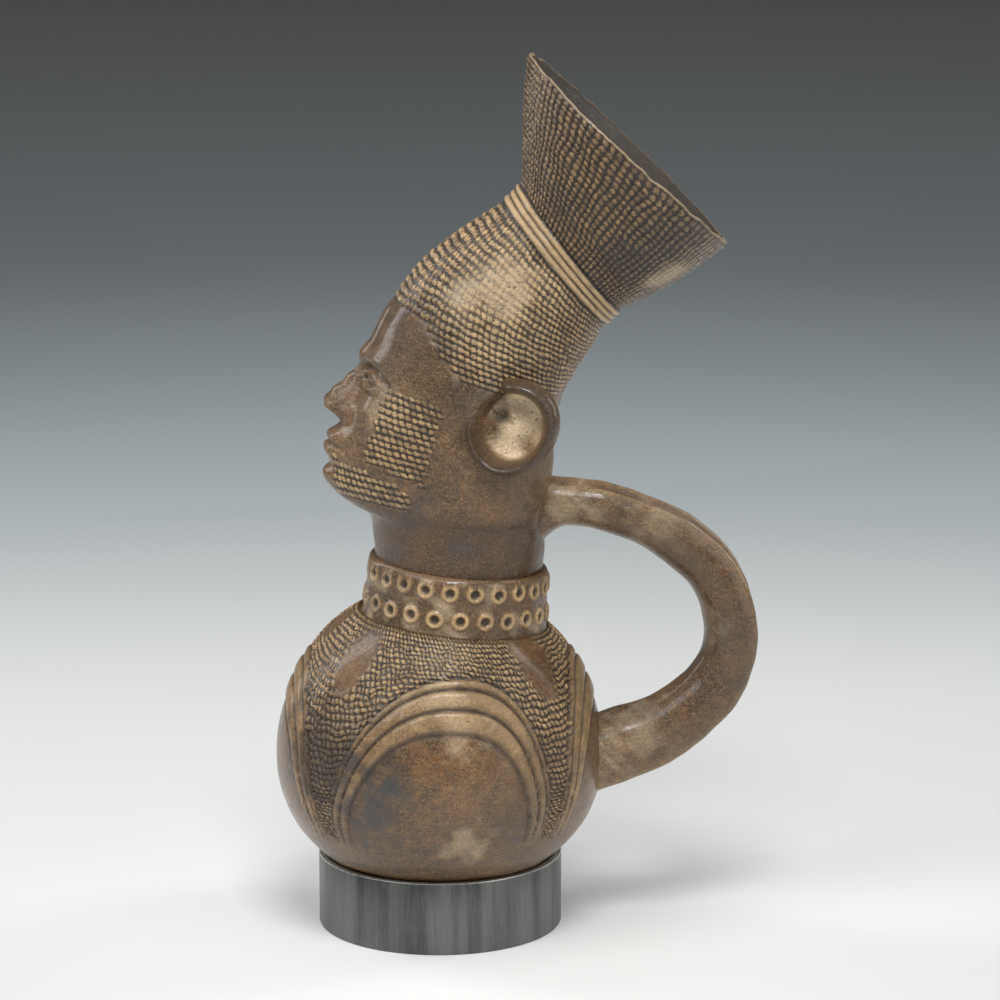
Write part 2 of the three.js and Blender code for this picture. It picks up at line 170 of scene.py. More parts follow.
class SmoothLine:
    """A centripetal curve through points, open or closed, read at arrays of 0 to 1."""

    def __init__(self, points, closed=False):
        points = np.asarray(points, float)
        if closed:
            self.knots = np.vstack([points[-1], points, points[0], points[1]])
        else:
            ends = 2 * points[0] - points[1], 2 * points[-1] - points[-2]
            self.knots = np.vstack([ends[0], points, ends[1]])

    def at(self, t):
        spans = len(self.knots) - 3
        place = np.clip(np.atleast_1d(t), 0, 1) * spans
        index = np.minimum(place.astype(int), spans - 1)
        w = (place - index)[:, None]
        p0, p1, p2, p3 = (self.knots[index + k] for k in range(4))
        d0, d1, d2 = (
            np.sqrt(np.linalg.norm(b - a, axis=1))[:, None] for a, b in ((p0, p1), (p1, p2), (p2, p3))
        )
        leave = ((p1 - p0) / d0 - (p2 - p0) / (d0 + d1) + (p2 - p1) / d1) * d1
        arrive = ((p2 - p1) / d1 - (p3 - p1) / (d1 + d2) + (p3 - p2) / d2) * d1
        square = 3 * (p2 - p1) - 2 * leave - arrive
        cube = 2 * (p1 - p2) + leave + arrive
        return p1 + w * (leave + w * (square + w * cube))


def figure_vector(pair):
    """A point of the side view, from hundredths of the figure's height."""
    x, z = pair
    return np.array([COLLAR_OFFSET + x * SHARE, 0, COLLAR_FOOT_Z + COLLAR_SINK + z * SHARE])


FRONT_LINE = SmoothLine([figure_vector(section[1]) for section in SECTIONS])
BACK_LINE = SmoothLine([figure_vector(section[2]) for section in SECTIONS])
OVAL_LINE = SmoothLine([section[3] for section in SECTIONS])


def figure_point(number, turn, inset=0.0, relief=0.0):
    """The figure's surface at section numbers and turns from the front, moved in or out."""
    t = np.asarray(number, float) / (len(SECTIONS) - 1)
    front, back, oval = FRONT_LINE.at(t), BACK_LINE.at(t), OVAL_LINE.at(t)
    chord = front - back
    length = np.linalg.norm(chord, axis=1)
    spare = oval[:, 2] * SHARE * (np.asarray(inset) > 0)
    half_length = length / 2 - inset - spare / 2 + relief
    half_width = oval[:, 0] * SHARE - inset + relief
    along = half_length * np.cos(turn) - spare / 2
    across = half_width * np.sin(turn) * (1 - oval[:, 1] * np.cos(turn))
    point = (front + back) / 2 + chord * (along / length)[:, None]
    point[:, 1] -= across
    return point


def belly_point(azimuth, latitude, relief=0.0):
    """A point of the belly: azimuth 0 is the front, under the face. Angles are in degrees."""
    azimuth, latitude = np.radians(azimuth), np.radians(latitude)
    reach = np.where(latitude > 0, BELLY_RISE, BELLY_DROP) + relief
    radius = (BELLY_RADIUS + relief) * np.cos(latitude)
    return np.stack(
        [
            -radius * np.cos(azimuth),
            -radius * np.sin(azimuth),
            BELLY_CENTRE_Z + reach * np.sin(latitude),
        ],
        axis=-1,
    )


def collar_point(turn, radius, height):
    """A point round the leaning collar's own axis. The turn is in radians from the front."""
    x, y = -radius * np.cos(turn), -radius * np.sin(turn)
    lean, upright = math.sin(COLLAR_LEAN), math.cos(COLLAR_LEAN)
    return np.stack(
        [
            COLLAR_OFFSET + x * upright + height * lean,
            y + 0 * height,
            COLLAR_FOOT_Z - x * lean + height * upright,
        ],
        axis=-1,
    )


# Sheets: flat grids that formulas wrap into closed pieces

# Every cut of a cell is a whole number of these shares of it
FINEST_SHARE = 60
# The numbers at each point that the clay's material reads
CLAY_ATTRIBUTES = "ridge cut pattern columnar field hollow deep soot ochre pale".split()


def numbered_rows(**counts):
    """The first and last row of each zone of a sheet, from how many rows each zone has."""
    rows, first = {}, 0
    for zone, count in counts.items():
        rows[zone] = (first, first + count)
        first += count
    return rows


def flat_sheet(columns, rows, zones):
    """A flat grid with a cell a unit, cut finer in zones: first row, last row, cuts across, along."""
    sheet = bmesh.new()
    bmesh.ops.create_grid(sheet, x_segments=columns, y_segments=rows, size=0.5)
    bmesh.ops.translate(sheet, vec=(0.5, 0.5, 0), verts=sheet.verts)
    bmesh.ops.scale(sheet, vec=(columns, rows, 1), verts=sheet.verts)
    nearly = 1e-3
    for first, last, across, along in zones:
        for cuts, axis in ((across, 0), (along, 1)):
            edges = []
            for edge in sheet.edges:
                a, b = edge.verts[0].co, edge.verts[1].co
                middle = (a.y + b.y) / 2
                level = abs(a.y - b.y) < nearly
                upright = abs(a.x - b.x) < nearly
                if first - nearly < middle < last - nearly and (level if axis == 0 else upright):
                    edges.append(edge)
            if cuts:
                bmesh.ops.subdivide_edges(
                    sheet, edges=edges, cuts=cuts, use_grid_fill=True, use_single_edge=True
                )
    return sheet


def wrapped_piece(name, sheet, columns, wrap):
    """Wraps a flat sheet by a formula of its cells, closes its seams and gives the mesh object.

    wrap takes the arrays of column and row, and gives the points, the places among the stamped
    cells and a dictionary of attributes, where one that is left out is 0.
    """
    mesh = bpy.data.meshes.new(name)
    sheet.to_mesh(mesh)
    sheet.free()
    flat = np.zeros(len(mesh.vertices) * 3)
    mesh.vertices.foreach_get("co", flat)
    flat = np.round(flat.reshape(-1, 3) * FINEST_SHARE) / FINEST_SHARE
    column, row = np.mod(flat[:, 0], columns), flat[:, 1]
    points, shift, attributes = wrap(column, row)
    cells = np.stack([flat[:, 0] + shift, row], axis=-1)
    corners = np.zeros(len(mesh.loops), int)
    mesh.loops.foreach_get("vertex_index", corners)
    mesh.uv_layers.new(name="Cells").uv.foreach_set("vector", cells[corners].ravel())
    placed = (points + [RING_AXIS_X, 0, 0]) * MM
    mesh.vertices.foreach_set("co", placed.ravel())
    for label in CLAY_ATTRIBUTES:
        values = np.broadcast_to(attributes.get(label, 0.0), column.shape)
        layer = mesh.attributes.new(label, "FLOAT", "POINT")
        layer.data.foreach_set("value", values.astype(np.float32))
    closed = bmesh.new()
    closed.from_mesh(mesh)
    bmesh.ops.remove_doubles(closed, verts=closed.verts, dist=1e-6)
    bmesh.ops.recalc_face_normals(closed, faces=closed.faces)
    open_edges = sum(edge.is_boundary for edge in closed.edges)
    if open_edges:
        raise RuntimeError(f"{name} has {open_edges} open edges")
    closed.to_mesh(mesh)
    closed.free()
    mesh.shade_smooth()
    piece = bpy.data.objects.new(name, mesh)
    bpy.context.scene.collection.objects.link(piece)
    return piece


def pellet(column, row, columns):
    """Rounded pellets, one a cell: 1 on their crests and 0 in the grooves between them."""
    across = np.abs(2 * np.mod(column, 1) - 1)
    along = np.abs(2 * np.mod(row, 1) - 1)
    chance = scatter(np.mod(np.floor(column), columns), np.floor(row + 1e-6))
    crest = 1 - ramp((across**3 + along**3) ** (1 / 3), 0.45, 1.02)
    return crest * (0.6 + 0.4 * ramp(chance, 0.0, 0.5))


# The belly and collar

BELLY_COLUMNS = 160
BODY_ROWS = numbered_rows(
    foot=1, under=18, belly=44, fillet=2, collar=9, edge=2, ledge=2, sleeve=4, inside=30, floor=1
)
PATTERN_FOOT_LATITUDE = -30.0
# The fillet at the collar's foot ends this far over the foot
FILLET_RISE = 1.2
# The sleeve that the neck stands round, at its top and its bottom: radius, and height in the collar
SLEEVE_TOP, SLEEVE_BOTTOM = (29.3, COLLAR_HEIGHT - 1.2), (28.5, -4.2)
# Where the inside of the belly opens into the neck
NECK_OPENING_RADIUS = 31

# Leaf-shaped places between the arches and the collar where the clay is bare: azimuth, latitude
# and reach in degrees
BARE_PATCHES = ((48, 43, 7.5), (139, 41, 8), (-52, 44, 8), (-135, 42, 7.5), (4, 52, 5))


def arch_place(azimuth, latitude, quarter):
    """How far in across an arch's band a place lies, and its turn along the arch, 0 to 1.

    The crowns of the two arches at the sides lean towards the handle.
    """
    up = (latitude - ARCH_FOOT) / (ARCH_TOP - ARCH_FOOT)
    half = ARCH_SIDE_HALF if quarter % 2 else ARCH_FRONT_HALF
    middle = 90 * quarter + (0, ARCH_LEAN, 0, -ARCH_LEAN)[quarter] * np.maximum(up, 0) ** 2
    off = np.abs((azimuth - middle + 180) % 360 - 180) / half
    band = ARCH_BAND / (ARCH_TOP - ARCH_FOOT)
    low, high = np.full(off.shape, -0.6), np.full(off.shape, 3.2)
    for _ in range(16):
        inward = (low + high) / 2
        round_ = (off / (ARCH_OUTER_SHARE - ARCH_FOOT_SHARE * inward)) ** ARCH_ROUND
        round_ += (np.maximum(up, 0) / (1 - band * inward)) ** ARCH_ROUND
        low = np.where(round_ < 1, inward, low)
        high = np.where(round_ < 1, high, inward)
    turn = np.arctan2(off, np.maximum(up, 0)) / (math.pi / 2)
    return np.where(up < 0, -0.6, (low + high) / 2), turn


# An arch's ridges, across its band from outside in: first edge, last edge and share of the height
ARCH_RIDGES = ((0.0, 0.21, 0.8), (0.21, 0.62, 1.0), (0.62, 1.06, 0.95))


def arch_relief(inward, turn, height):
    """Three smooth ridges with incised grooves between them, sinking in at the arch's feet; also where
    painted shade darkens the grooves and the step under the band's inner edge.
    """
    ridges = np.zeros(inward.shape)
    groove = np.zeros(inward.shape)
    for first, last, share in ARCH_RIDGES:
        middle, half = (first + last) / 2, (last - first) / 2
        ridge = 1 - np.clip(np.abs(inward - middle) / half, 0, 1) ** 4
        ridges = np.maximum(ridges, share * ridge)
    for _, line, _ in ARCH_RIDGES[:-1]:
        groove = np.maximum(groove, bump(inward, line, 0.038))
    groove = np.maximum(groove, 0.6 * bump(inward, ARCH_RIDGES[0][0] - 0.03, 0.05))
    # Painted shadow under the band's inner step, which also dips a little there
    under = bump(inward, ARCH_RIDGES[-1][1] + 0.03, 0.06)
    standing = 1 - 0.8 * ramp(turn, 0.8, 1.0)
    raised = height * standing * (ridges - 0.4 * groove - 0.3 * under)
    return raised, np.maximum(groove, 0.8 * under) * standing


def collar_stamps(turn, below_top):
    """Two rows of ring-shaped stamps: their relief, 0 to 1, and their hollow centres, which get painted
    shade.
    """
    relief, hollow = np.zeros(turn.shape), np.zeros(turn.shape)
    pitch = 2 * math.pi / STAMPS_PER_ROW
    for row in range(2):
        shift = 0.0 if row else 0.5
        index = np.round(turn / pitch - shift)
        uneven = scatter(np.mod(index, STAMPS_PER_ROW), row, 3.0) - 0.5
        across = (turn - (index + shift) * pitch) * COLLAR_TOP
        down = below_top - STAMP_ROW_TOP - row * STAMP_ROW_STEP - uneven * 0.8
        away = np.hypot(across * 1.02, down) / STAMP_RADIUS
        wear = 0.8 + 0.4 * scatter(np.mod(index, STAMPS_PER_ROW), row, 5.0)
        wear *= 0.7 + 0.3 * ramp(np.abs(turn), 0.5, 1.1)
        relief = np.maximum(relief, wear * np.clip(1 - ((away - 0.74) / 0.34) ** 2, 0, 1))
        hollow = np.maximum(hollow, 1 - ramp(away, 0.34, 0.6))
    return relief, hollow


def body_wrap(sizes):
    """The formula that wraps the sheet of the belly and collar."""

    def place(column, row):
        first, last = BODY_ROWS["belly"]
        loose = ramp(row, first - 2, first + 3) * (1 - ramp(row, last - 4, last))
        column = column + 0.28 * loose * waver(column, row, BELLY_COLUMNS, 3.5, 51)
        row = row + 0.18 * loose * waver(column, row, BELLY_COLUMNS, 3.5, 52)
        turn = 2 * math.pi * column / BELLY_COLUMNS - math.pi
        own = np.degrees(turn)
        x, y = COLLAR_OFFSET - COLLAR_FOOT * np.cos(turn), -COLLAR_FOOT * np.sin(turn)
        end_latitude = np.degrees(np.arccos(np.hypot(x, y) / BELLY_RADIUS)) - 0.5
        end_azimuth = np.degrees(np.arctan2(-y, -x))
        end_azimuth += 360 * np.round((own - end_azimuth) / 360)
        up = np.clip((row - first) / (last - first), 0, 1)
        azimuth = own + (end_azimuth - own) * ramp(up, 0.35, 1)
        low = -math.degrees(math.acos(FOOT_RADIUS / BELLY_RADIUS))
        under = np.clip((row - BODY_ROWS["under"][0]) / (first - BODY_ROWS["under"][0]), 0, 1)
        latitude = low + (PATTERN_FOOT_LATITUDE - low) * under
        latitude = latitude + (end_latitude - PATTERN_FOOT_LATITUDE) * up
        # The rows of pellets rise over the arches and dip between them
        rising = np.sin(math.pi * up) ** 2 * np.cos(4 * np.radians(azimuth))
        latitude = latitude + ROW_RISE * rising
        return turn, azimuth, latitude

    def pattern_at(azimuth, latitude):
        outside = np.ones(azimuth.shape)
        for quarter in range(4):
            inward, _ = arch_place(azimuth, latitude, quarter)
            outside *= 1 - ramp(inward, -0.03, 0.0)
        spread = outside * ramp(latitude, -25, -21)
        for where, lat, reach in BARE_PATCHES:
            off = (azimuth - where + 180) % 360 - 180
            away = np.hypot(off * np.cos(np.radians(latitude)), 0.6 * (latitude - lat))
            spread *= ramp(away, reach * 0.6, reach * 1.3)
        return spread

    def wrap(column, row):
        turn, azimuth, latitude = place(column, row)
        # Each row of pellets starts half a cell on from the row below it
        shift = 0.5 * row
        cell_row = np.floor(row + 1e-6)
        cell_column = np.floor(column + shift + 1e-6)
        middle_row = cell_row + 0.5
        middle_column = np.mod(cell_column + 0.5 - 0.5 * middle_row, BELLY_COLUMNS)
        _, mid_azimuth, mid_latitude = place(middle_column, middle_row)
        chance = scatter(np.mod(cell_column, BELLY_COLUMNS), cell_row, 2.0) - 0.5
        stippled = ramp(pattern_at(mid_azimuth, mid_latitude) + 0.5 * chance, 0.3, 0.7)
        stippled *= (row >= BODY_ROWS["belly"][0]) & (row < BODY_ROWS["belly"][1])
        crest = pellet(column + shift, row, BELLY_COLUMNS)
        relief = stippled * sizes.belly_pellets / MM * (crest - 0.35)
        ridges = np.zeros(column.shape)
        grooves = np.zeros(column.shape)
        field = np.zeros(column.shape)
        for quarter in range(4):
            inward, along = arch_place(azimuth, latitude, quarter)
            raised, cut = arch_relief(inward, along, sizes.arch_ridges / MM)
            ridges = np.where(np.abs(raised) > np.abs(ridges), raised, ridges)
            grooves = np.maximum(grooves, cut)
            field = np.maximum(field, ramp(inward, 1.1, 1.2))
        relief = relief + ridges
        points = belly_point(azimuth, latitude)
        relief = relief + sizes.unevenness / MM * lumps(points, 26, 1)
        relief = relief + 0.3 * sizes.unevenness / MM * lumps(points, 9, 2) * (1 - stippled)
        relief *= ramp(row, BODY_ROWS["foot"][1], BODY_ROWS["foot"][1] + 4)
        points = belly_point(azimuth, latitude, relief)
        foot = row < BODY_ROWS["foot"][1]
        points[foot, :2] *= row[foot, None]

        # The fillet, the collar's wall, its edge and the ledge that the neck stands on
        first, last = BODY_ROWS["fillet"][0], BODY_ROWS["collar"][1]
        lowest = FILLET_RISE - COLLAR_SINK
        height = lowest + (COLLAR_HEIGHT - COLLAR_EDGE - lowest) * (row - first) / (last - first)
        radius = COLLAR_FOOT + (COLLAR_TOP - COLLAR_FOOT) * (height + COLLAR_SINK) / COLLAR_HEIGHT
        stamped, hollow = collar_stamps(turn, COLLAR_HEIGHT - height)
        radius = radius + sizes.collar_stamps / MM * (stamped - 0.45 * hollow)
        radius = radius + 0.5 * bump(height, COLLAR_HEIGHT - 1.2, 0.9)
        radius = radius + 2.2 * bump(height, -COLLAR_SINK + 0.6, 2.2)
        radius = radius + 0.35 * lumps(points, 12, 3)
        on_collar = (row > BODY_ROWS["belly"][1]) & (row <= BODY_ROWS["collar"][1])
        points[on_collar] = collar_point(turn, radius, height)[on_collar]

        knots = [
            (COLLAR_TOP + 0.4, COLLAR_HEIGHT - COLLAR_EDGE),
            (COLLAR_TOP - 0.5, COLLAR_HEIGHT - 0.2),
            (COLLAR_TOP - COLLAR_EDGE - 0.4, COLLAR_HEIGHT),
            (33.6, COLLAR_HEIGHT - 0.6),
            SLEEVE_TOP,
            (29.1, 16.0),
            (28.9, 8.0),
            (28.7, 0.0),
            SLEEVE_BOTTOM,
        ]
        step = np.clip(row - BODY_ROWS["edge"][0], 0, len(knots) - 1)
        radius = np.interp(step, range(len(knots)), [knot[0] for knot in knots])
        height = np.interp(step, range(len(knots)), [knot[1] for knot in knots])
        on_ledge = (row > BODY_ROWS["edge"][0]) & (row <= BODY_ROWS["sleeve"][1])
        points[on_ledge] = collar_point(turn, radius, height)[on_ledge]

        # The hollow inside
        first, last = BODY_ROWS["inside"]
        inner = BELLY_RADIUS - WALL
        high = math.acos(NECK_OPENING_RADIUS / inner) - 0.06
        low = -math.acos(FOOT_RADIUS / inner)
        down = np.clip((row - first - 1) / (last - first - 1), 0, 1)
        angle = high + (low - high) * down
        reach = np.where(angle > 0, BELLY_RISE, BELLY_DROP) - WALL
        hollow_radius = inner * np.cos(angle) + 0.5 * lumps(points, 20, 4)
        hollow_radius *= 1 - np.clip(row - BODY_ROWS["floor"][0], 0, 1)
        lean = COLLAR_OFFSET * ramp(angle, 0.3, high)
        within = np.stack(
            [
                lean - hollow_radius * np.cos(turn),
                -hollow_radius * np.sin(turn),
                BELLY_CENTRE_Z + reach * np.sin(angle),
            ],
            axis=-1,
        )
        is_inside = row > first
        points[is_inside] = within[is_inside]

        outer = row <= BODY_ROWS["collar"][1]
        raised = np.clip(ridges / (sizes.arch_ridges / MM), 0, 1)
        on_belly_side = outer & ~on_collar
        under_stamp = 0.25 * (1 - ramp(stamped, 0.0, 0.4))
        rubbed = on_collar * (0.04 + 0.35 * lumps(points, 5, 13))
        attributes = patches(points, BODY_PATCHES, on_belly)
        attributes.update(
            # ridge: pale tan on the raised arch ridges and stamps, dust with a painted highlight
            ridge=outer * np.where(on_collar, stamped, 0.42 * raised * (1 - stippled)),
            # cut: painted shade in the arches' grooves and the stamps' hollow centres; it also darkens
            # the collar a little round the stamps
            cut=outer * np.where(on_collar, np.maximum(hollow, under_stamp), grooves),
            pattern=on_belly_side * stippled,
            columnar=0.5,
            field=on_belly_side * field,
            # hollow: painted shade over the jar's inside
            hollow=is_inside,
            # Painted shade on the belly's underside, darker towards the bottom
            deep=np.maximum(attributes["deep"], 0.35 * ramp(-latitude, 18, 40) * outer),
            pale=np.maximum(attributes["pale"], np.clip(rubbed, 0, 1)),
        )
        return points, shift, attributes

    return wrap


# Patches of colour, each a place, its reach in millimetres and its strength from 0 to 1


def on_belly(azimuth, latitude):
    return belly_point(np.array([azimuth]), np.array([latitude]))[0]


def on_figure(number, turn):
    return figure_point(np.array([number]), np.radians(np.array([turn])))[0]


# Azimuth and latitude, reach, strength
BODY_PATCHES = {
    "soot": (
        (72, 2, 13, 0.95),
        (68, -8, 13, 0.8),
        (57, 11, 9, 0.8),
        (57, -2, 10, 0.7),
        (40, 2, 22, 0.45),
        (120, -12, 14, 0.35),
        (-70, -20, 20, 0.7),
        (-150, 25, 18, 0.5),
    ),
    "ochre": (
        (87, 14, 17, 0.9),
        (76, 18, 11, 0.6),
        (48, 47, 10, 0.95),
        (48, 37, 10, 0.95),
        (139, 45, 11, 0.9),
        (139, 36, 10, 0.9),
        (128, 8, 13, 0.4),
        (-52, 45, 11, 0.9),
        (-100, 10, 20, 0.5),
    ),
    "deep": (
        (47, 50, 10, 0.5),
        (139, 38, 11, 0.5),
        (45, 12, 32, 1.0),
        (52, -14, 14, 0.6),
        (128, 6, 22, 0.5),
        (-47, 8, 22, 0.6),
        (-128, 6, 20, 0.4),
    ),
    "pale": (
        (100, -23, 11, 0.4),
        (99, 22, 11, 0.4),
        (90, 33, 15, 0.4),
        (92, 47, 14, 0.3),
        (55, 24, 12, 0.3),
        (-60, 40, 18, 0.4),
    ),
}


def patches(points, table, locate):
    """The strength of each kind of patch at each point. locate turns a row's place to a point."""
    strengths = {}
    ragged = 0.25 * lumps(points, 6, 11) + 0.15 * lumps(points, 2.5, 12)
    for kind, rows in table.items():
        total = np.zeros(len(points))
        for *place, reach, strength in rows:
            away = np.linalg.norm(points - locate(*place), axis=1) / reach + ragged
            total = np.maximum(total, strength * (1 - ramp(away, 0.15, 1.25)))
        strengths[kind] = total
    return strengths


# The head and hairdress

EAR_CENTRE = (10.4, 37.2)
EAR_DENT, EAR_DENT_FROM = 4.5, 22.0
HEAD_COLUMNS = 88
HEAD_ROWS = numbered_rows(neck=6, face=32, hair=16, cords=5, flare=20, lip=3, inside=26, root=1)
FACE_FOOT_NUMBER = 2.6
HAIR_NUMBER = 9.8
# The hairline's section number, and how far it dips over the ears
HAIRLINE_NUMBER, HAIRLINE_DIP = 9.85, 1.3
LIP_NUMBER = NUMBER["mouthrim"]

FACE_TOP = figure_vector(SECTIONS[NUMBER["hairline"]][1])
FACE_FOOT = figure_vector(SECTIONS[NUMBER["chin"]][1])
THIRD = np.linalg.norm(FACE_FOOT - FACE_TOP) / 3
FACE_DOWN = (FACE_FOOT - FACE_TOP) / (3 * THIRD)
FACE_OUT = np.array([FACE_DOWN[2], 0, -FACE_DOWN[0]])
NOSE_HEIGHTS = (
    (0.98, 0.04),
    (1.16, 0.06),
    (1.45, 0.21),
    (1.68, 0.34),
    (1.82, 0.4),
    (1.9, 0.37),
    (2.0, 0.14),
    (2.08, 0.0),
)


def along_table(table, x):
    """The height at x on a line through [x, height] pairs, with soft joints."""
    places = np.array([pair[0] for pair in table])
    heights = np.array([pair[1] for pair in table])
    after = np.clip(np.searchsorted(places, x), 1, len(places) - 1)
    low, high = places[after - 1], places[after]
    t = np.clip((x - low) / (high - low), 0, 1)
    t = t * t * (3 - 2 * t)
    return heights[after - 1] + (heights[after] - heights[after - 1]) * t


def face_relief(down, side):
    """A calm, general face in its own thirds: how far its features stand out, and where painted shade
    darkens its creases.
    """
    away = np.abs(side)
    nose_width = 0.2 + 0.1 * ramp(down, 1.3, 1.9)
    nose_round = np.sqrt(np.maximum(0, 1 - (away / nose_width) ** 2))
    eye_across, eye_down = (away - 0.52) / 0.25, (down - 1.31 - 0.02 * (away - 0.52)) / 0.115
    eye = np.hypot(eye_across, eye_down)
    slit = eye_down - 0.25 + 0.35 * eye_across**2
    lip_width = 1 - ramp(away, 0.26, 0.42)
    line = down - 2.385 - 0.12 * away**2 + 0.015 * bump(away, 0, 0.07)
    parts = (
        along_table(NOSE_HEIGHTS, down) * nose_round,
        0.16 * bump(down, 1.89, 0.12) * bump(away, 0.27, 0.12),
        -0.09 * bump(down, 1.975, 0.05) * bump(away, 0.15, 0.07),
        0.09 * bump(down, 1 + 0.12 * (away - 0.4) ** 2, 0.14) * (1 - ramp(away, 0.75, 1.1)),
        -0.16 * bump(down, 1.28, 0.24) * bump(away, 0.5, 0.32),
        0.16 * bump(down, 1.31, 0.15) * bump(away, 0.52, 0.24),
        0.06 * bump(eye, 1.0, 0.26),
        -0.05 * bump(eye, 1.6, 0.26) * (eye_down < 0),
        -0.08 * bump(slit, 0, 0.2) * (1 - ramp(eye, 0.85, 1.1)),
        0.08 * bump(down, 1.72, 0.45) * bump(away, 0.78, 0.3),
        0.14 * bump(down, 2.38, 0.36) * bump(away, 0, 0.62),
        0.07 * bump(line, -0.1, 0.095) * lip_width,
        0.07 * bump(line, 0.115, 0.11) * lip_width,
        -0.05 * bump(line, 0, 0.035) * (1 - ramp(away, 0.34, 0.44)),
        -0.03 * bump(line, -0.2, 0.05) * bump(away, 0, 0.06),
        -0.05 * bump(away, 0.43, 0.05) * bump(line, 0, 0.07),
        -0.06 * bump(down, 2.69, 0.08) * bump(away, 0, 0.36),
        0.13 * bump(down, 2.88, 0.2) * bump(away, 0, 0.42),
    )
    # Painted shade in the creases: the eye slits, over the upper lids, the nostrils and the mouth's
    # parting
    painted_shade_lines = (
        0.65 * bump(slit, 0, 0.13) * (1 - ramp(eye, 0.85, 1.05)),
        0.4 * bump(eye, 1.6, 0.16) * (eye_down < 0),
        0.8 * bump(down, 1.975, 0.035) * bump(away, 0.15, 0.06),
        0.7 * bump(line, 0, 0.022) * (1 - ramp(away, 0.34, 0.42)),
    )
    return sum(parts) * THIRD, sum(painted_shade_lines)


def arc_rows(first, last, count):
    """A count of section numbers, evenly spaced along the figure's side."""
    fine = np.linspace(first, last, 200)
    side = figure_point(fine, np.full(fine.shape, 0.42 * math.pi))
    length = np.append(0, np.cumsum(np.linalg.norm(np.diff(side, axis=0), axis=1)))
    return np.interp(np.linspace(0, length[-1], count), length, fine)


def head_numbers():
    """The section number at each whole row, up to the lip."""
    spans = (
        ("neck", 0, FACE_FOOT_NUMBER, np.linspace),
        ("face", FACE_FOOT_NUMBER, HAIR_NUMBER, arc_rows),
        ("hair", HAIR_NUMBER, NUMBER["waist"], arc_rows),
        ("cords", NUMBER["waist"], NUMBER["cords"], np.linspace),
        ("flare", NUMBER["cords"], LIP_NUMBER, arc_rows),
    )
    numbers = []
    for zone, first, last, spread in spans:
        count = HEAD_ROWS[zone][1] - HEAD_ROWS[zone][0]
        numbers.extend(spread(first, last, count + 1)[:-1])
    return np.array([*numbers, LIP_NUMBER])


def face_place(points):
    """Places on the face, in its thirds: down from the hairline, and to the side."""
    down = (points - FACE_TOP) @ FACE_DOWN / THIRD
    return down, points[:, 1] / THIRD


# Section number and turn, reach, strength
HEAD_PATCHES = {
    "soot": (
        (15.2, 118, 15, 0.75),
        (16.3, 128, 16, 0.65),
        (8.3, 100, 12, 0.35),
        (8.0, 130, 12, 0.3),
        (14.8, 60, 12, 0.35),
        (3.6, 70, 16, 0.5),
        (1.2, 98, 9, 0.6),
        (1.0, 45, 10, 0.4),
        (15.8, -110, 20, 0.6),
        (9.2, -95, 16, 0.6),
    ),
    "ochre": (
        (14.9, 95, 17, 0.5),
        (16.0, 80, 13, 0.4),
        (12.6, 120, 13, 0.5),
        (5.5, 55, 12, 0.3),
        (1.6, 74, 12, 0.7),
        (2.4, 112, 11, 0.5),
        (15.3, -70, 18, 0.5),
    ),
    "deep": (
        (9.1, 58, 18, 0.8),
        (9.0, 30, 20, 1.0),
        (8.0, 84, 11, 0.8),
        (6.8, 90, 10, 0.8),
        (5.2, 84, 12, 0.5),
        (9.1, -55, 18, 0.8),
        (7.4, -86, 14, 0.7),
    ),
    "pale": (
        (11.6, 76, 23, 0.75),
        (10.9, 66, 13, 0.6),
        (12.4, 92, 15, 0.65),
        (9.9, 92, 14, 0.7),
        (10.6, 110, 13, 0.4),
        (11.6, -80, 14, 0.7),
        (6.6, 50, 12, 0.35),
    ),
}
# Where handling has rubbed the stipple nearly flat: section number, turn in degrees, and reach
WORN_PLACES = ((11.7, 76, 13), (11.0, 64, 9), (12.3, -82, 10), (15.6, 150, 10))


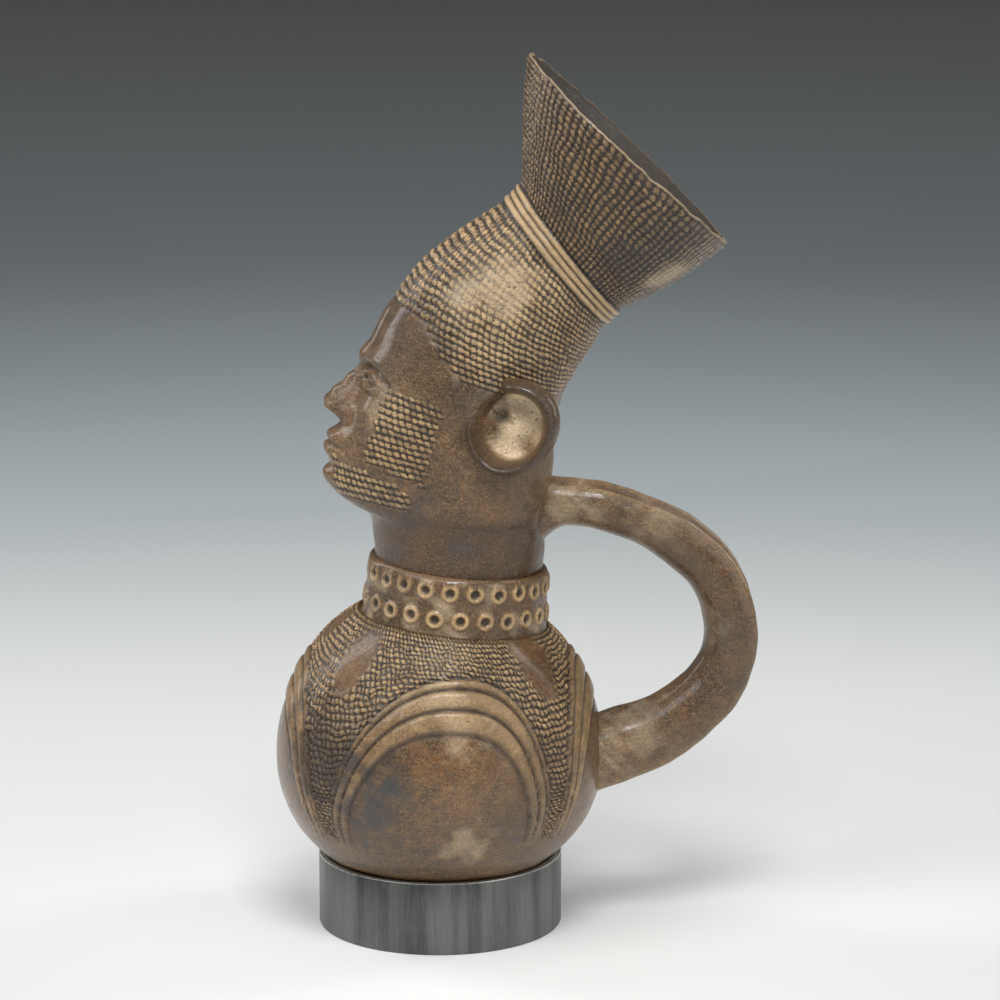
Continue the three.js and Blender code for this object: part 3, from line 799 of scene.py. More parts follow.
def head_wrap(sizes):
    """The formula that wraps the sheet of the head and hairdress."""
    numbers = head_numbers()
    outer_rows = HEAD_ROWS["flare"][1]

    def place(column, row):
        turn = 2 * math.pi * column / HEAD_COLUMNS - math.pi
        in_hair = ramp(row, HEAD_ROWS["hair"][0] - 2, HEAD_ROWS["hair"][0] + 3)
        in_hair *= 1 - ramp(row, HEAD_ROWS["flare"][1] - 2, HEAD_ROWS["flare"][1])
        in_hair *= 1 - 0.8 * bump(row, sum(HEAD_ROWS["cords"]) / 2, 4)
        loose = 0.25 + 0.75 * in_hair
        loose *= ramp(row, 2, 8) * (1 - ramp(row, HEAD_ROWS["flare"][1] - 2, HEAD_ROWS["flare"][1]))
        row = row + 0.17 * loose * waver(column, row, HEAD_COLUMNS, 4, 61)
        number = np.interp(row, range(len(numbers)), numbers)
        sway = 0.2 * loose * waver(column, row, HEAD_COLUMNS, 4, 62)
        return number, turn + sway * 2 * math.pi / HEAD_COLUMNS

    def pattern_at(column, row):
        number, turn = place(column, row)
        points = figure_point(number, turn)
        down, side = face_place(points)
        side = np.abs(side)
        facing = np.cos(turn) > 0
        away = np.degrees(np.abs(turn))
        dip = ramp(away, 40, 94) * (1 - 0.5 * ramp(away, 125, 165))
        hair = number > HAIRLINE_NUMBER - HAIRLINE_DIP * dip
        hair &= (row < HEAD_ROWS["cords"][0]) | (row > HEAD_ROWS["cords"][1])
        inner_edge = 0.86 - 0.12 * ramp(down, 1.8, 2.3)
        cheek = (side > inner_edge) & (away < 82) & (down > 1.22) & (down < 2.38)
        jaw = (side > 0.3) & (away < 76) & (down > 2.52) & (down < 3.0) & (number > 3.7)
        return hair.astype(float), (cheek | jaw) & facing & ~hair

    def wrap(column, row):
        number, turn = place(column, row)
        points = figure_point(number, turn)
        # Under the cords each row of pellets starts half a cell on from the row below it
        shift = 0.5 * np.minimum(row, HEAD_ROWS["cords"][0])
        middle_row = np.floor(row + 1e-6) + 0.5
        middle_column = np.floor(column + shift + 1e-6) + 0.5
        middle_column -= 0.5 * np.minimum(middle_row, HEAD_ROWS["cords"][0])
        hair, marks = pattern_at(np.mod(middle_column, HEAD_COLUMNS), middle_row)
        crest = pellet(column + shift, row, HEAD_COLUMNS)
        worn = np.zeros(column.shape)
        for where, angle, reach in WORN_PLACES:
            away = np.linalg.norm(points - on_figure(where, angle), axis=1)
            away += 2.0 * lumps(points, 5, 21)
            worn = np.maximum(worn, 1 - ramp(away, 0.35 * reach, 1.4 * reach))
        back = 0.55 * ramp(np.abs(turn), 2.2, 2.7)
        depth = hair * sizes.hair_pellets / MM * (1 - 0.88 * worn) * (1 - back)
        depth = depth + marks * sizes.face_marks / MM
        shape = depth * (crest - 0.55)

        # Three cords round the waist, and a plain band either side of them
        first, last = NUMBER["waist"], NUMBER["cords"]
        wound = np.clip((number - first) / (last - first), 0, 1) * CORD_COUNT
        cord = np.abs(np.sin(math.pi * wound)) ** 0.8 * (wound > 0) * (wound < CORD_COUNT)
        # The cuts between the cords are sunk a little and darkened with painted shade through cut
        cord_cut = (1 - ramp(np.abs(np.mod(wound + 0.5, 1) - 0.5), 0.0, 0.16)) * (
            (row > HEAD_ROWS["cords"][0] - 0.5) & (row < HEAD_ROWS["cords"][1] + 0.5)
        )
        cord_wear = 1 - 0.4 * bump(turn, 1.2, 0.7)
        shape = shape + sizes.cord_height / MM * cord * cord_wear - 0.25 * cord_cut

        uneven = sizes.unevenness / MM
        shape = shape + uneven * lumps(points, 24, 5) + 0.4 * uneven * lumps(points, 8, 6)
        points = figure_point(number, turn, 0.0, shape * ramp(row, 0, 1))
        down, side = face_place(points)
        front = ramp(np.cos(turn), 0.05, 0.4) * ramp(down, 0, 0.4) * (1 - ramp(down, 2.95, 3.25))
        front = front * (row <= outer_rows)
        features, painted_shade_lines = face_relief(down, side)
        points = points + np.outer(front * features, FACE_OUT)

        # A dent behind each ear's dish
        ear = figure_vector(EAR_CENTRE)
        from_ear = np.hypot(points[:, 0] - ear[0], points[:, 2] - ear[2])
        dent = EAR_DENT * (1 - ramp(from_ear, 9, 16)) * (np.abs(points[:, 1]) > EAR_DENT_FROM)
        points[:, 1] -= np.sign(points[:, 1]) * dent

        # A soft swelling of clay round the handle's upper root
        root = handle_root_up()
        swell = np.linalg.norm((points - root) * [1, 0.9, 0.75], axis=1)
        points[:, 0] += 2.4 * (1 - ramp(swell, 12, 27)) * (row < HEAD_ROWS["hair"][0])

        # The lip rolls over from the outside to the inside, then the hollow goes down
        inside_first, inside_last = HEAD_ROWS["inside"]
        over = np.clip((row - outer_rows) / (inside_first - outer_rows), 0, 1)
        rounded = 1.3 * np.sin(math.pi * over**0.6)
        chips = 0.5 * lumps(points, 7, 8) + 0.35 * lumps(points, 3, 9)
        # The lip stands a little higher on the near side, towards the back
        chips = chips + 3.0 * bump(turn, 2.2, 0.8)
        lip = figure_point(np.full(row.shape, LIP_NUMBER), turn)
        before = figure_point(np.full(row.shape, LIP_NUMBER - 1.0), turn)
        upward = lip - before
        upward /= np.linalg.norm(upward, axis=1)[:, None]
        centre = lip.mean(axis=0)
        inward = centre - lip
        inward /= np.linalg.norm(inward, axis=1)[:, None]
        rolled = lip + inward * (MOUTH_WALL * over)[:, None] + upward * (rounded + chips * 0.5)[:, None]
        on_lip = (row > outer_rows) & (row <= inside_first)
        near_lip = bump(row, outer_rows, 1.2) * (row <= outer_rows)
        points = points + upward * (near_lip * chips * 0.5)[:, None]
        points[on_lip] = rolled[on_lip]

        depth_in = np.clip((row - inside_first) / (inside_last - inside_first), 0, 1)
        inner_number = LIP_NUMBER * (1 - depth_in)
        inset = WALL + (MOUTH_WALL - WALL) * ramp(inner_number, NUMBER["waist"], LIP_NUMBER)
        inner = figure_point(inner_number, turn, inset)
        is_inside = (row > inside_first) & (row <= inside_last)
        points[is_inside] = inner[is_inside]
        at_root = row > inside_last
        back_out = (row - inside_last)[at_root]
        root_in = figure_point(np.zeros(back_out.shape), turn[at_root], WALL)
        root_out = figure_point(np.zeros(back_out.shape), turn[at_root])
        points[at_root] = root_in + (root_out - root_in) * back_out[:, None]

        outer = row <= outer_rows
        patterned = np.maximum(hair * (1 - 0.7 * worn), marks)
        worn_cord = cord * cord_wear
        # Painted shade darkens the neck under the chin and the flare above the cords
        neck_painted_shade = 0.8 * (1 - ramp(number, 2.6, 4.2))
        flare_painted_shade = 0.65 * ramp(row, HEAD_ROWS["cords"][1] - 0.5, HEAD_ROWS["cords"][1] + 0.5)
        attributes = patches(points, HEAD_PATCHES, on_figure)
        rubbed = np.maximum(0.55 * worn, 0.7 * worn_cord) * outer
        pale = np.maximum(attributes["pale"], rubbed)
        attributes.update(
            # ridge: pale tan on the raised cords, dust with a painted highlight
            ridge=0.9 * outer * worn_cord,
            # cut: painted shade between the cords and in the face's creases
            cut=outer * np.maximum(cord_cut, front * painted_shade_lines),
            pattern=outer * patterned,
            columnar=ramp(row, HEAD_ROWS["cords"][0], HEAD_ROWS["cords"][1]),
            # hollow: painted shade inside the mouth and on the lip's inner roll
            hollow=np.where(on_lip, ramp(over, 0.45, 0.7), is_inside | at_root),
            deep=np.maximum(attributes["deep"] * outer, np.maximum(neck_painted_shade, flare_painted_shade)),
            pale=np.where(on_lip, 0.5 * (1 - ramp(over, 0.3, 0.5)), pale),
        )
        return points, shift, attributes

    return wrap


# The ears

EAR_RADIUS, EAR_RIM, EAR_DISH, EAR_BACK, EAR_STAND = 18.6, 4.4, 4.5, 19.0, 38.5
EAR_TURN, EAR_LEAN = math.radians(17), math.radians(12)
EAR_OPENING, EAR_LOWER_FRONT = math.radians(152), math.radians(222)
EAR_COLUMNS, EAR_ROWS = 56, 34
# The inner half of the ear stops this far from the middle plane, inside the clay of the head
EAR_BURIED = 31.0
EAR_PROFILE = SmoothLine(
    [
        (0.0, -EAR_BACK),
        (0.35 * EAR_RADIUS, -EAR_BACK),
        (0.72 * EAR_RADIUS, -0.55 * EAR_BACK),
        (EAR_RADIUS, -1.1 * EAR_RIM),
        (EAR_RADIUS, -0.1 * EAR_RIM),
        (EAR_RADIUS - 0.55 * EAR_RIM, 0.45 * EAR_RIM),
        (EAR_RADIUS - 1.15 * EAR_RIM, -0.1 * EAR_RIM),
        (EAR_RADIUS - 1.6 * EAR_RIM, -0.85 * EAR_DISH),
        (0.2 * EAR_RADIUS, -EAR_DISH),
        (0.0, -EAR_DISH),
    ]
)


def ear_wrap(side):
    """The formula of one ear: a dish with a rolled rim, open towards the face."""
    centre = figure_vector(EAR_CENTRE)
    turned = Matrix.Rotation(side * EAR_TURN, 3, "Z") @ Matrix.Rotation(EAR_LEAN, 3, "Y")
    turned = np.array(turned @ Matrix.Diagonal((0.96, 1, 1.06)))

    def wrap(column, row):
        turn = 2 * math.pi * column / EAR_COLUMNS
        profile = EAR_PROFILE.at(row / EAR_ROWS)
        radius, height = profile[:, 0], profile[:, 1]
        # Turn 0 is towards the back of the head and a quarter turn is up
        opening = ramp(np.cos(turn - EAR_OPENING), 0.74, 0.97)
        lower_front = ramp(np.cos(turn - EAR_LOWER_FRONT), 0.1, 0.95)
        share = row / EAR_ROWS
        on_rim = bump(radius, EAR_RADIUS - 0.5 * EAR_RIM, 0.62 * EAR_RIM) * ramp(share, 0.3, 0.45)
        height = height + (2.0 + 2.8 * lower_front) * on_rim
        outward = ramp(radius, 0.45 * EAR_RADIUS, 0.75 * EAR_RADIUS) * ramp(share, 0.3, 0.42)
        height = height + outward * opening * (-EAR_DISH - 1.5 - height)
        # The ear canal, sunk in and darkened with painted shadow through cut
        canal = bump(turn, EAR_OPENING + 0.2, 0.5) * bump(radius, 6.5, 3.2)
        canal = canal * ramp(share, 0.6, 0.7) * ramp(radius, 0, 2)
        height = height - 2.2 * canal
        radius = radius * (1 + 0.03 * np.sin(2 * turn + 0.6) + 0.02 * np.sin(3 * turn))
        out = side * height
        local = np.stack([radius * np.cos(turn), out, radius * np.sin(turn)], axis=-1)
        points = local @ turned.T + [centre[0], side * EAR_STAND, centre[2]]
        points[:, 1] = side * np.maximum(np.abs(points[:, 1]), EAR_BURIED)
        points = points + 0.3 * lumps(points, 6, 31)[:, None] * [0, side, 0]
        dish = 1 - ramp(radius, EAR_RADIUS - 1.6 * EAR_RIM, EAR_RADIUS - 1.2 * EAR_RIM)
        dish = dish * (row > EAR_ROWS * 0.5)
        attributes = {
            "cut": np.maximum(canal, 0.3 * on_rim * (1 - opening)),
            "field": on_rim * (1 - opening),
            "deep": np.clip(1.6 * on_rim, 0, 1) * (1 - 0.6 * opening),
            "pale": 1.2 * dish * (1 - 0.5 * opening) * (0.62 + 0.4 * lumps(points, 5, 33)),
        }
        return points, 0.0, attributes

    return wrap


# The handle

HANDLE_REACH, HANDLE_THICKNESS, HANDLE_WIDTH = 72.0, 16.5, 25.0
HANDLE_NAPE_FLARE, HANDLE_BELLY_FLARE, HANDLE_ROOT_SPREAD = 1.9, 1.42, 1.35
HANDLE_COLUMNS, HANDLE_ROWS = 48, 190
# How deep its ends are buried in the clay walls, short of the hollow, and the neck's radius there
HANDLE_BURIED, NAPE_RADIUS = 5.2, 33.5
# The line's own corners are smoothed over these shares of its length
HANDLE_SOFTENING = (-0.03, -0.018, -0.006, 0.006, 0.018, 0.03)
HANDLE_LINE = (
    (0, 0),
    (0.003, 0.21),
    (0.036, 0.37),
    (0.108, 0.573),
    (0.222, 0.786),
    (0.389, 0.968),
    (0.654, 1),
    (0.825, 0.849),
    (0.947, 0.542),
    (0.983, 0.289),
    (1, 0),
)
HANDLE_OUTLINE = SmoothLine(
    [
        (0.42, -0.18),
        (0.42, 0.18),
        (0.5, 0.36),
        (0.26, 0.5),
        (-0.26, 0.46),
        (-0.5, 0.18),
        (-0.5, -0.18),
        (-0.26, -0.46),
        (0.26, -0.5),
        (0.5, -0.36),
    ],
    closed=True,
)
# Place, reach, strength
HANDLE_PATCHES = {
    "soot": (
        (112.0, 0, 118, 22, 0.5),
        (96.0, -8, 160, 14, 0.4),
        (84.0, -10, 88, 14, 0.4),
    ),
    "ochre": (
        (100.0, -8, 150, 16, 0.45),
        (80.0, -10, 78, 18, 0.4),
    ),
    "pale": (
        (52.0, -6, 178, 16, 0.45),
        (88.0, -6, 168, 14, 0.3),
        (66.0, -8, 74, 15, 0.5),
        (82.0, -9, 84, 13, 0.45),
        (104.0, -8, 130, 12, 0.35),
    ),
}


def handle_root_up():
    return figure_point(np.array([NUMBER["underchin"] + 0.3]), np.array([math.pi]))[0]


def handle_wrap(sizes):
    """The formula of the loop handle, from the nape to the back of the belly."""
    up = handle_root_up() - [WALL, 0, 0]
    low = belly_point(np.array([180.0]), np.array([0.0]))[0] - [WALL + 4, 0, 0]
    way = low - up
    outward = np.array([-way[2], 0, way[0]]) / np.linalg.norm(way)
    line = SmoothLine([up + way * d + outward * (o * HANDLE_REACH) for d, o in HANDLE_LINE])

    def wrap(column, row):
        even = np.clip((row - 1) / (HANDLE_ROWS - 2), 0, 1)
        at = even - 0.06 * np.sin(2 * math.pi * even)
        centre = np.mean([line.at(at + step) for step in HANDLE_SOFTENING], axis=0)
        along = line.at(at + HANDLE_SOFTENING[-1]) - line.at(at + HANDLE_SOFTENING[0])
        along /= np.linalg.norm(along, axis=1)[:, None]
        out = np.stack([-along[:, 2], np.zeros(len(at)), along[:, 0]], axis=-1)
        near_nape = (1 - np.minimum(1, at / 0.13)) ** 2
        near_belly = ramp(at, 0.5, 1)
        flare = (HANDLE_NAPE_FLARE - 1) * near_nape + (HANDLE_BELLY_FLARE - 1) * near_belly
        spread = (HANDLE_ROOT_SPREAD - 1) * (near_nape + near_belly**2)
        thickness = HANDLE_THICKNESS * (1 + flare + 0.18 * ramp(at, 0.25, 0.5))
        width = HANDLE_WIDTH * (1 + spread)
        section = HANDLE_OUTLINE.at(column / HANDLE_COLUMNS)
        rise, side = section[:, 0], section[:, 1]
        closing = 1 - np.clip(1 - row, 0, 1) - np.clip(row - HANDLE_ROWS + 1, 0, 1)
        edge = bump(np.abs(side), 0.36, 0.07) * (rise > 0.3)
        groove = bump(np.abs(side), 0.24, 0.06) * (rise > 0.3) * (1 - near_nape)
        raw = centre + out * (rise * thickness)[:, None]
        uneven = sizes.unevenness / MM * (1.2 * lumps(raw, 18, 41) + 0.4 * lumps(raw, 6, 42))
        swell = 1 + (uneven + 0.8 * edge - 0.9 * groove) / (0.5 * thickness)
        points = centre + out * (rise * thickness * swell * closing)[:, None]
        points[:, 1] -= side * width * closing * (1 + uneven / (0.5 * width))

        # Its ends stop inside the clay walls
        neck_middle = handle_root_up()[0] - NAPE_RADIUS
        bow = np.sqrt(np.maximum(0, NAPE_RADIUS**2 - points[:, 1] ** 2))
        behind_neck = neck_middle + bow - HANDLE_BURIED
        in_neck = at < 0.12
        points[in_neck, 0] = np.maximum(points[in_neck, 0], behind_neck[in_neck])
        from_centre = points - [0, 0, BELLY_CENTRE_Z]
        scale = np.array([1, 1, BELLY_RADIUS / BELLY_RISE])
        away = np.linalg.norm(from_centre * scale, axis=1)
        least = BELLY_RADIUS - HANDLE_BURIED
        push = np.where((at > 0.85) & (away < least), least / np.maximum(away, 1), 1)
        points = from_centre * push[:, None] + [0, 0, BELLY_CENTRE_Z]
        attributes = patches(points, HANDLE_PATCHES, lambda *place: np.array(place))
        # ridge pales the raised edges, dust with a painted highlight; cut lays painted shade in the
        # grooves beside them
        attributes.update(
            ridge=0.45 * edge, cut=0.2 * groove, field=0.3, deep=0.45 * bump(at, 0.55, 0.3)
        )
        return points, 0.0, attributes

    return wrap


# Materials


class Term:
    """A value in a shader. Arithmetic on it adds the Math nodes."""

    def __init__(self, shader, socket):
        self.shader, self.socket = shader, socket

    def _with(self, operation, first, second):
        return self.shader.value("ShaderNodeMath", {"operation": operation}, {0: first, 1: second})

    def __add__(self, other):
        return self._with("ADD", self, other)

    def __radd__(self, other):
        return self._with("ADD", other, self)

    def __sub__(self, other):
        return self._with("SUBTRACT", self, other)

    def __rsub__(self, other):
        return self._with("SUBTRACT", other, self)

    def __mul__(self, other):
        return self._with("MULTIPLY", self, other)

    def __rmul__(self, other):
        return self._with("MULTIPLY", other, self)


class Shader:
    """One material and the nodes in it."""

    def __init__(self, name):
        self.material = bpy.data.materials.new(name)
        self.material.use_nodes = True
        self.tree = self.material.node_tree
        self.tree.nodes.clear()

    def node(self, kind, settings, values):
        """A node of a kind, with its settings set first and then its sockets' values or links."""
        made = self.tree.nodes.new(kind)
        for label, setting in settings.items():
            if label == "stops":
                ramp_elements = made.color_ramp.elements
                while len(ramp_elements) < len(setting):
                    ramp_elements.new(1.0)
                for element, (place, colour) in zip(ramp_elements, setting):
                    element.position, element.color = place, colour
            else:
                setattr(made, label, setting)
        for key, given in values.items():
            if isinstance(key, int):
                socket = made.inputs[key]
            else:
                socket = next(s for s in made.inputs if key in (s.identifier, s.name))
            if isinstance(given, Term):
                self.tree.links.new(given.socket, socket)
            else:
                socket.default_value = given
        return made

    def value(self, kind, settings, values, output=0):
        return Term(self, self.node(kind, settings, values).outputs[output])

    def attribute(self, label):
        return self.value("ShaderNodeAttribute", {"attribute_name": label}, {}, "Fac")

    def coordinates(self):
        return self.value("ShaderNodeTexCoord", {}, {}, "Object")

    def vector(self, operation, *values):
        """A Vector Math node."""
        output = "Value" if operation == "LENGTH" else "Vector"
        settings = {"operation": operation}
        return self.value("ShaderNodeVectorMath", settings, dict(enumerate(values)), output)

    def parts(self, vector):
        """The three numbers of a vector."""
        made = self.node("ShaderNodeSeparateXYZ", {}, {"Vector": vector})
        return [Term(self, output) for output in made.outputs]

    def noise(self, where, size, detail, roughness, low, high):
        """Noise with grains of a size in millimetres, its range from low to high spread out."""
        values = {"Vector": where, "Scale": 1 / (size * MM), "Detail": detail, "Roughness": roughness}
        grain = self.value("ShaderNodeTexNoise", {}, values, "Fac")
        return self.spread(grain, low, high)

    def bumped(self, height, strength, distance):
        """The surface's normal with a height laid on it, its distance in millimetres."""
        values = {"Strength": strength, "Distance": distance * MM, "Height": height}
        return self.value("ShaderNodeBump", {}, values)

    def spread(self, term, low, high, to_low=0.0, to_high=1.0):
        """The term's range from low to high, softly spread out to another range."""
        values = {"Value": term, "From Min": low, "From Max": high, "To Min": to_low, "To Max": to_high}
        return self.value("ShaderNodeMapRange", {"interpolation_type": "SMOOTHSTEP"}, values)

    def mix(self, amount, first, second):
        """The first colour turned to the second by an amount."""
        first, second = (c if isinstance(c, Term) else rgba(c) for c in (first, second))
        settings = {"data_type": "RGBA", "blend_type": "MIX", "clamp_factor": True}
        values = {"Factor_Float": amount, "A_Color": first, "B_Color": second}
        made = self.node("ShaderNodeMix", settings, values)
        return Term(self, next(s for s in made.outputs if s.identifier == "Result_Color"))

    def pellets(self, cells, where, columnar):
        """Rounded pellets, one a cell, with ragged edges and each with its own strength.

        Where columnar is 0 the cuts between their rows are the stronger ones, and where it is 1
        those between their columns.
        """
        values = {"Vector": where, "Scale": 1 / (1.1 * MM), "Detail": 2.0}
        ragged = self.value("ShaderNodeTexNoise", {}, values, "Fac")
        off_middle = self.vector("SUBTRACT", self.vector("FRACTION", cells), (0.5, 0.5, 0.0))
        across, along, _ = self.parts(off_middle)
        away = (2.2 + 1.8 * columnar) * across * across
        away = away + (4.0 - 1.4 * columnar) * along * along
        whole = self.vector("FLOOR", cells)
        settings = {"noise_dimensions": "3D"}
        chance = self.value("ShaderNodeTexWhiteNoise", settings, {"Vector": whole}, "Value")
        crest = self.spread(away + 1.5 * (ragged - 0.5), 0.12, 0.8, 1.0, 0.0)
        return crest * (0.55 + 0.45 * self.spread(chance, 0.0, 0.6))

    def finish(self, values):
        surface = self.value("ShaderNodeBsdfPrincipled", {}, values)
        self.node("ShaderNodeOutputMaterial", {}, {"Surface": surface})
        return self.material


def rgba(colour):
    return (*colour, 1.0)


def clay_material(colours):
    """Low-fired brown clay, burnished and smoke-mottled. Its crests are pale with dust and a painted
    highlight; painted shade darkens its cuts, pits and inside, the neck under the chin, the flare and
    the belly's underside.
    """
    shader = Shader("Burnished clay")
    where = shader.coordinates()
    cells = shader.value("ShaderNodeUVMap", {"uv_map": "Cells"}, {})
    ridge, cut, pattern, columnar, field, hollow, deep, soot, ochre, pale = (
        shader.attribute(label) for label in CLAY_ATTRIBUTES
    )
    crest = shader.pellets(cells, where, columnar)
    clouds = shader.noise(where, 34, 3.0, 0.5, 0.36, 0.64)
    drifts = shader.noise(where, 13, 4.0, 0.6, 0.42, 0.66)
    mottle = shader.noise(where, 4.5, 5.0, 0.7, 0.42, 0.64)
    grain = shader.noise(where, 1.2, 3.0, 0.7, 0.4, 0.64)
    specks = shader.noise(where, 0.6, 2.0, 0.6, 0.58, 0.66)
    pits = shader.noise(where, 1.1, 2.0, 0.6, 0.65, 0.71)
    level = shader.vector("MULTIPLY", where, (0.5, 0.5, 5.0))
    strokes = shader.noise(level, 3.2, 3.0, 0.6, 0.42, 0.66)

    body = shader.mix(clouds, colours.clay, colours.dark_clay)
    body = shader.mix(0.65 * drifts, body, colours.dark_clay)
    body = shader.mix(0.45 * mottle, body, colours.ochre)
    body = shader.mix(0.15 * grain + 0.07 * strokes, body, colours.tan)
    body = shader.mix(ochre * (0.25 + 0.35 * mottle), body, colours.ochre)
    # deep darkens the clay: the listed dark patches, the ear rims and the handle's middle, and it lays
    # painted shade on the neck under the chin, the flare and the belly's underside
    body = shader.mix(0.75 * deep, body, colours.dark_clay)
    worn = pale * (0.7 + 0.3 * grain)
    body = shader.mix(0.85 * worn, body, colours.worn)
    # Pale tan on raised ridges and pellet crests: dust, with a painted highlight on the raised relief
    dust_and_highlight = (ridge + pattern * crest) * (0.6 + 0.4 * mottle) * (1 - 0.85 * deep)
    body = shader.mix(0.9 * dust_and_highlight, body, colours.tan)
    body = shader.mix(0.26 * specks * (1 - 0.4 * field), body, colours.tan)
    body = shader.mix(soot * (0.6 + 0.35 * drifts), body, colours.soot)
    # Painted shade: the groove colour darkens the cuts, the dents between pellets and the small pits
    cuts = cut + pattern * (1 - crest) * (1 - crest)
    body = shader.mix(0.85 * cuts, body, colours.groove)
    body = shader.mix(0.75 * pits, body, colours.groove)
    # Painted shade: the inside of the jar is darkened to the inside colour
    body = shader.mix(0.9 * hollow, body, colours.inside)

    rough = 0.34 + 0.08 * pattern + 0.14 * grain + 0.08 * worn - 0.05 * field + 0.06 * strokes
    height = 0.35 * grain + 0.5 * mottle + 1.2 * pattern * crest - 0.8 * pits - 0.5 * cut
    return shader.finish(
        {
            "Base Color": body,
            "Roughness": rough,
            "Coat Weight": (0.7 - 0.5 * grain) * (1 - hollow) * (1 - 0.8 * pale),
            "Coat Roughness": 0.16,
            "Normal": shader.bumped(height, 1.0, 0.45),
        }
    )


def metal_material(colours):
    """Dark grey tube with fine upright streaks and a bright cut rim."""
    shader = Shader("Dark tube")
    where = shader.coordinates()
    stretched = shader.vector("MULTIPLY", where, (1.0, 1.0, 0.06))
    streaks = shader.noise(stretched, 1.1, 3.0, 0.7, 0.4, 0.66)
    broad = shader.noise(stretched, 9, 2.0, 0.5, 0.35, 0.65)
    smear = shader.noise(where, 12, 4.0, 0.6, 0.45, 0.75)
    colour = shader.mix(0.5 * broad + 0.25 * streaks, colours.metal, colours.metal_streak)
    colour = shader.mix(0.25 * smear, colour, colours.metal_streak)
    _, _, height = shader.parts(where)
    top = (RING_HEIGHT - RING_EDGE) * MM
    rim = shader.spread(height, top, top + 0.2 * MM)
    colour = shader.mix(0.9 * rim, colour, colours.metal_rim)
    rough = 0.36 + 0.16 * streaks + 0.12 * smear - 0.1 * rim
    normal = shader.bumped(streaks, 0.25, 0.1)
    return shader.finish(
        {"Base Color": colour, "Metallic": 0.75, "Roughness": rough, "Normal": normal}
    )


# The paper's painted light, from a pale painted pool under the object to painted shade far behind it:
# share of its reach, and colour
PAPER_PAINTED_LIGHT_STOPS = (
    (0.0, (0.88, 0.88, 0.87)),
    (0.04, (0.84, 0.84, 0.825)),
    (0.08, (0.76, 0.76, 0.75)),
    (0.16, (0.705, 0.715, 0.7)),
    (0.215, (0.625, 0.645, 0.645)),
    (0.29, (0.53, 0.57, 0.58)),
    (0.37, (0.515, 0.56, 0.59)),
    (0.475, (0.445, 0.49, 0.515)),
    (0.595, (0.38, 0.42, 0.435)),
    (0.775, (0.26, 0.28, 0.29)),
    (1.0, (0.145, 0.145, 0.135)),
)
# The reach in metres, where a metre along the floor counts for less than one up the wall
PAPER_REACH, FLOOR_SHARE = 1.56, 0.55


def stage_material():
    """Paper with painted light: a pale painted pool under the object, shading to grey painted shade far
    behind it.
    """
    shader = Shader("Paper sweep")
    where = shader.coordinates()
    _, _, height = shader.parts(where)
    away = shader.vector("LENGTH", shader.vector("MULTIPLY", where, (1.0, 1.0, 0.0)))
    far = (away * FLOOR_SHARE + height) * (1 / PAPER_REACH)
    stops = [(place, rgba(colour)) for place, colour in PAPER_PAINTED_LIGHT_STOPS]
    colour = shader.value("ShaderNodeValToRGB", {"stops": stops}, {"Fac": far}, "Color")
    return shader.finish({"Base Color": colour, "Roughness": 0.8})


# Settings, operators and the panel


def length_setting(name, description, default):
    return FloatProperty(
        name=name, description=description, default=default, min=0.0, unit="LENGTH"
    )


def power_setting(name, description, default):
    return FloatProperty(name=name, description=description, default=default, min=0.0, unit="POWER")


def colour_setting(name, description, default):
    return FloatVectorProperty(
        name=name, description=description, default=default, subtype="COLOR", min=0.0, max=1.0
    )


class WineVesselSizes(PropertyGroup):
    hair_pellets: length_setting(
        "Hairdress pellets", "How far the hairdress's pellets stand above their grooves", 0.001
    )
    face_marks: length_setting(
        "Cheek and jaw marks", "How far the rows of marks on cheeks and jaw stand out", 0.00055
    )
    belly_pellets: length_setting(
        "Belly pellets", "How far the pellets between the arches stand out", 0.0009
    )
    arch_ridges: length_setting("Arch ridges", "How far the arches' ridges stand out", 0.0013)
    cord_height: length_setting("Cords", "How far the hairdress's three cords stand out", 0.0013)
    collar_stamps: length_setting("Collar stamps", "How far the collar's stamps stand out", 0.001)
    unevenness: length_setting(
        "Unevenness", "How far the hand-built clay wanders from its true form", 0.00025
    )
    ring_steps: IntProperty(
        name="Ring steps", description="How many flats the ring is spun with", default=160, min=32
    )


class WineVesselColours(PropertyGroup):
    clay: colour_setting("Clay", "The fired clay's own brown", (0.14, 0.07, 0.026))
    dark_clay: colour_setting("Dark clay", "Its darker clouds", (0.046, 0.02, 0.006))
    # Tan: dust on raised pellets and ridges, with a painted highlight on them; also the specks
    tan: colour_setting("Tan", "Dust on the raised pellets", (0.69, 0.455, 0.215))
    worn: colour_setting("Worn", "Rubbed, pale clay", (0.92, 0.71, 0.46))
    ochre: colour_setting("Ochre", "Orange-brown firing patches", (0.24, 0.105, 0.03))
    soot: colour_setting("Soot", "Smoke-blackened patches", (0.045, 0.046, 0.046))
    # Groove: painted shade for the bottoms of the cuts, the dents between pellets and the pits
    groove: colour_setting("Groove", "The bottoms of the cuts", (0.024, 0.015, 0.009))
    # Inside: painted shade over the unlit inside of the jar
    inside: colour_setting("Inside", "The dark inside of the jar", (0.035, 0.026, 0.019))
    metal: colour_setting("Tube", "The tube's dark grey", (0.085, 0.088, 0.086))
    metal_streak: colour_setting("Streaks", "Its lighter streaks", (0.24, 0.245, 0.235))
    metal_rim: colour_setting("Cut rim", "The bright cut edges", (0.72, 0.72, 0.7))


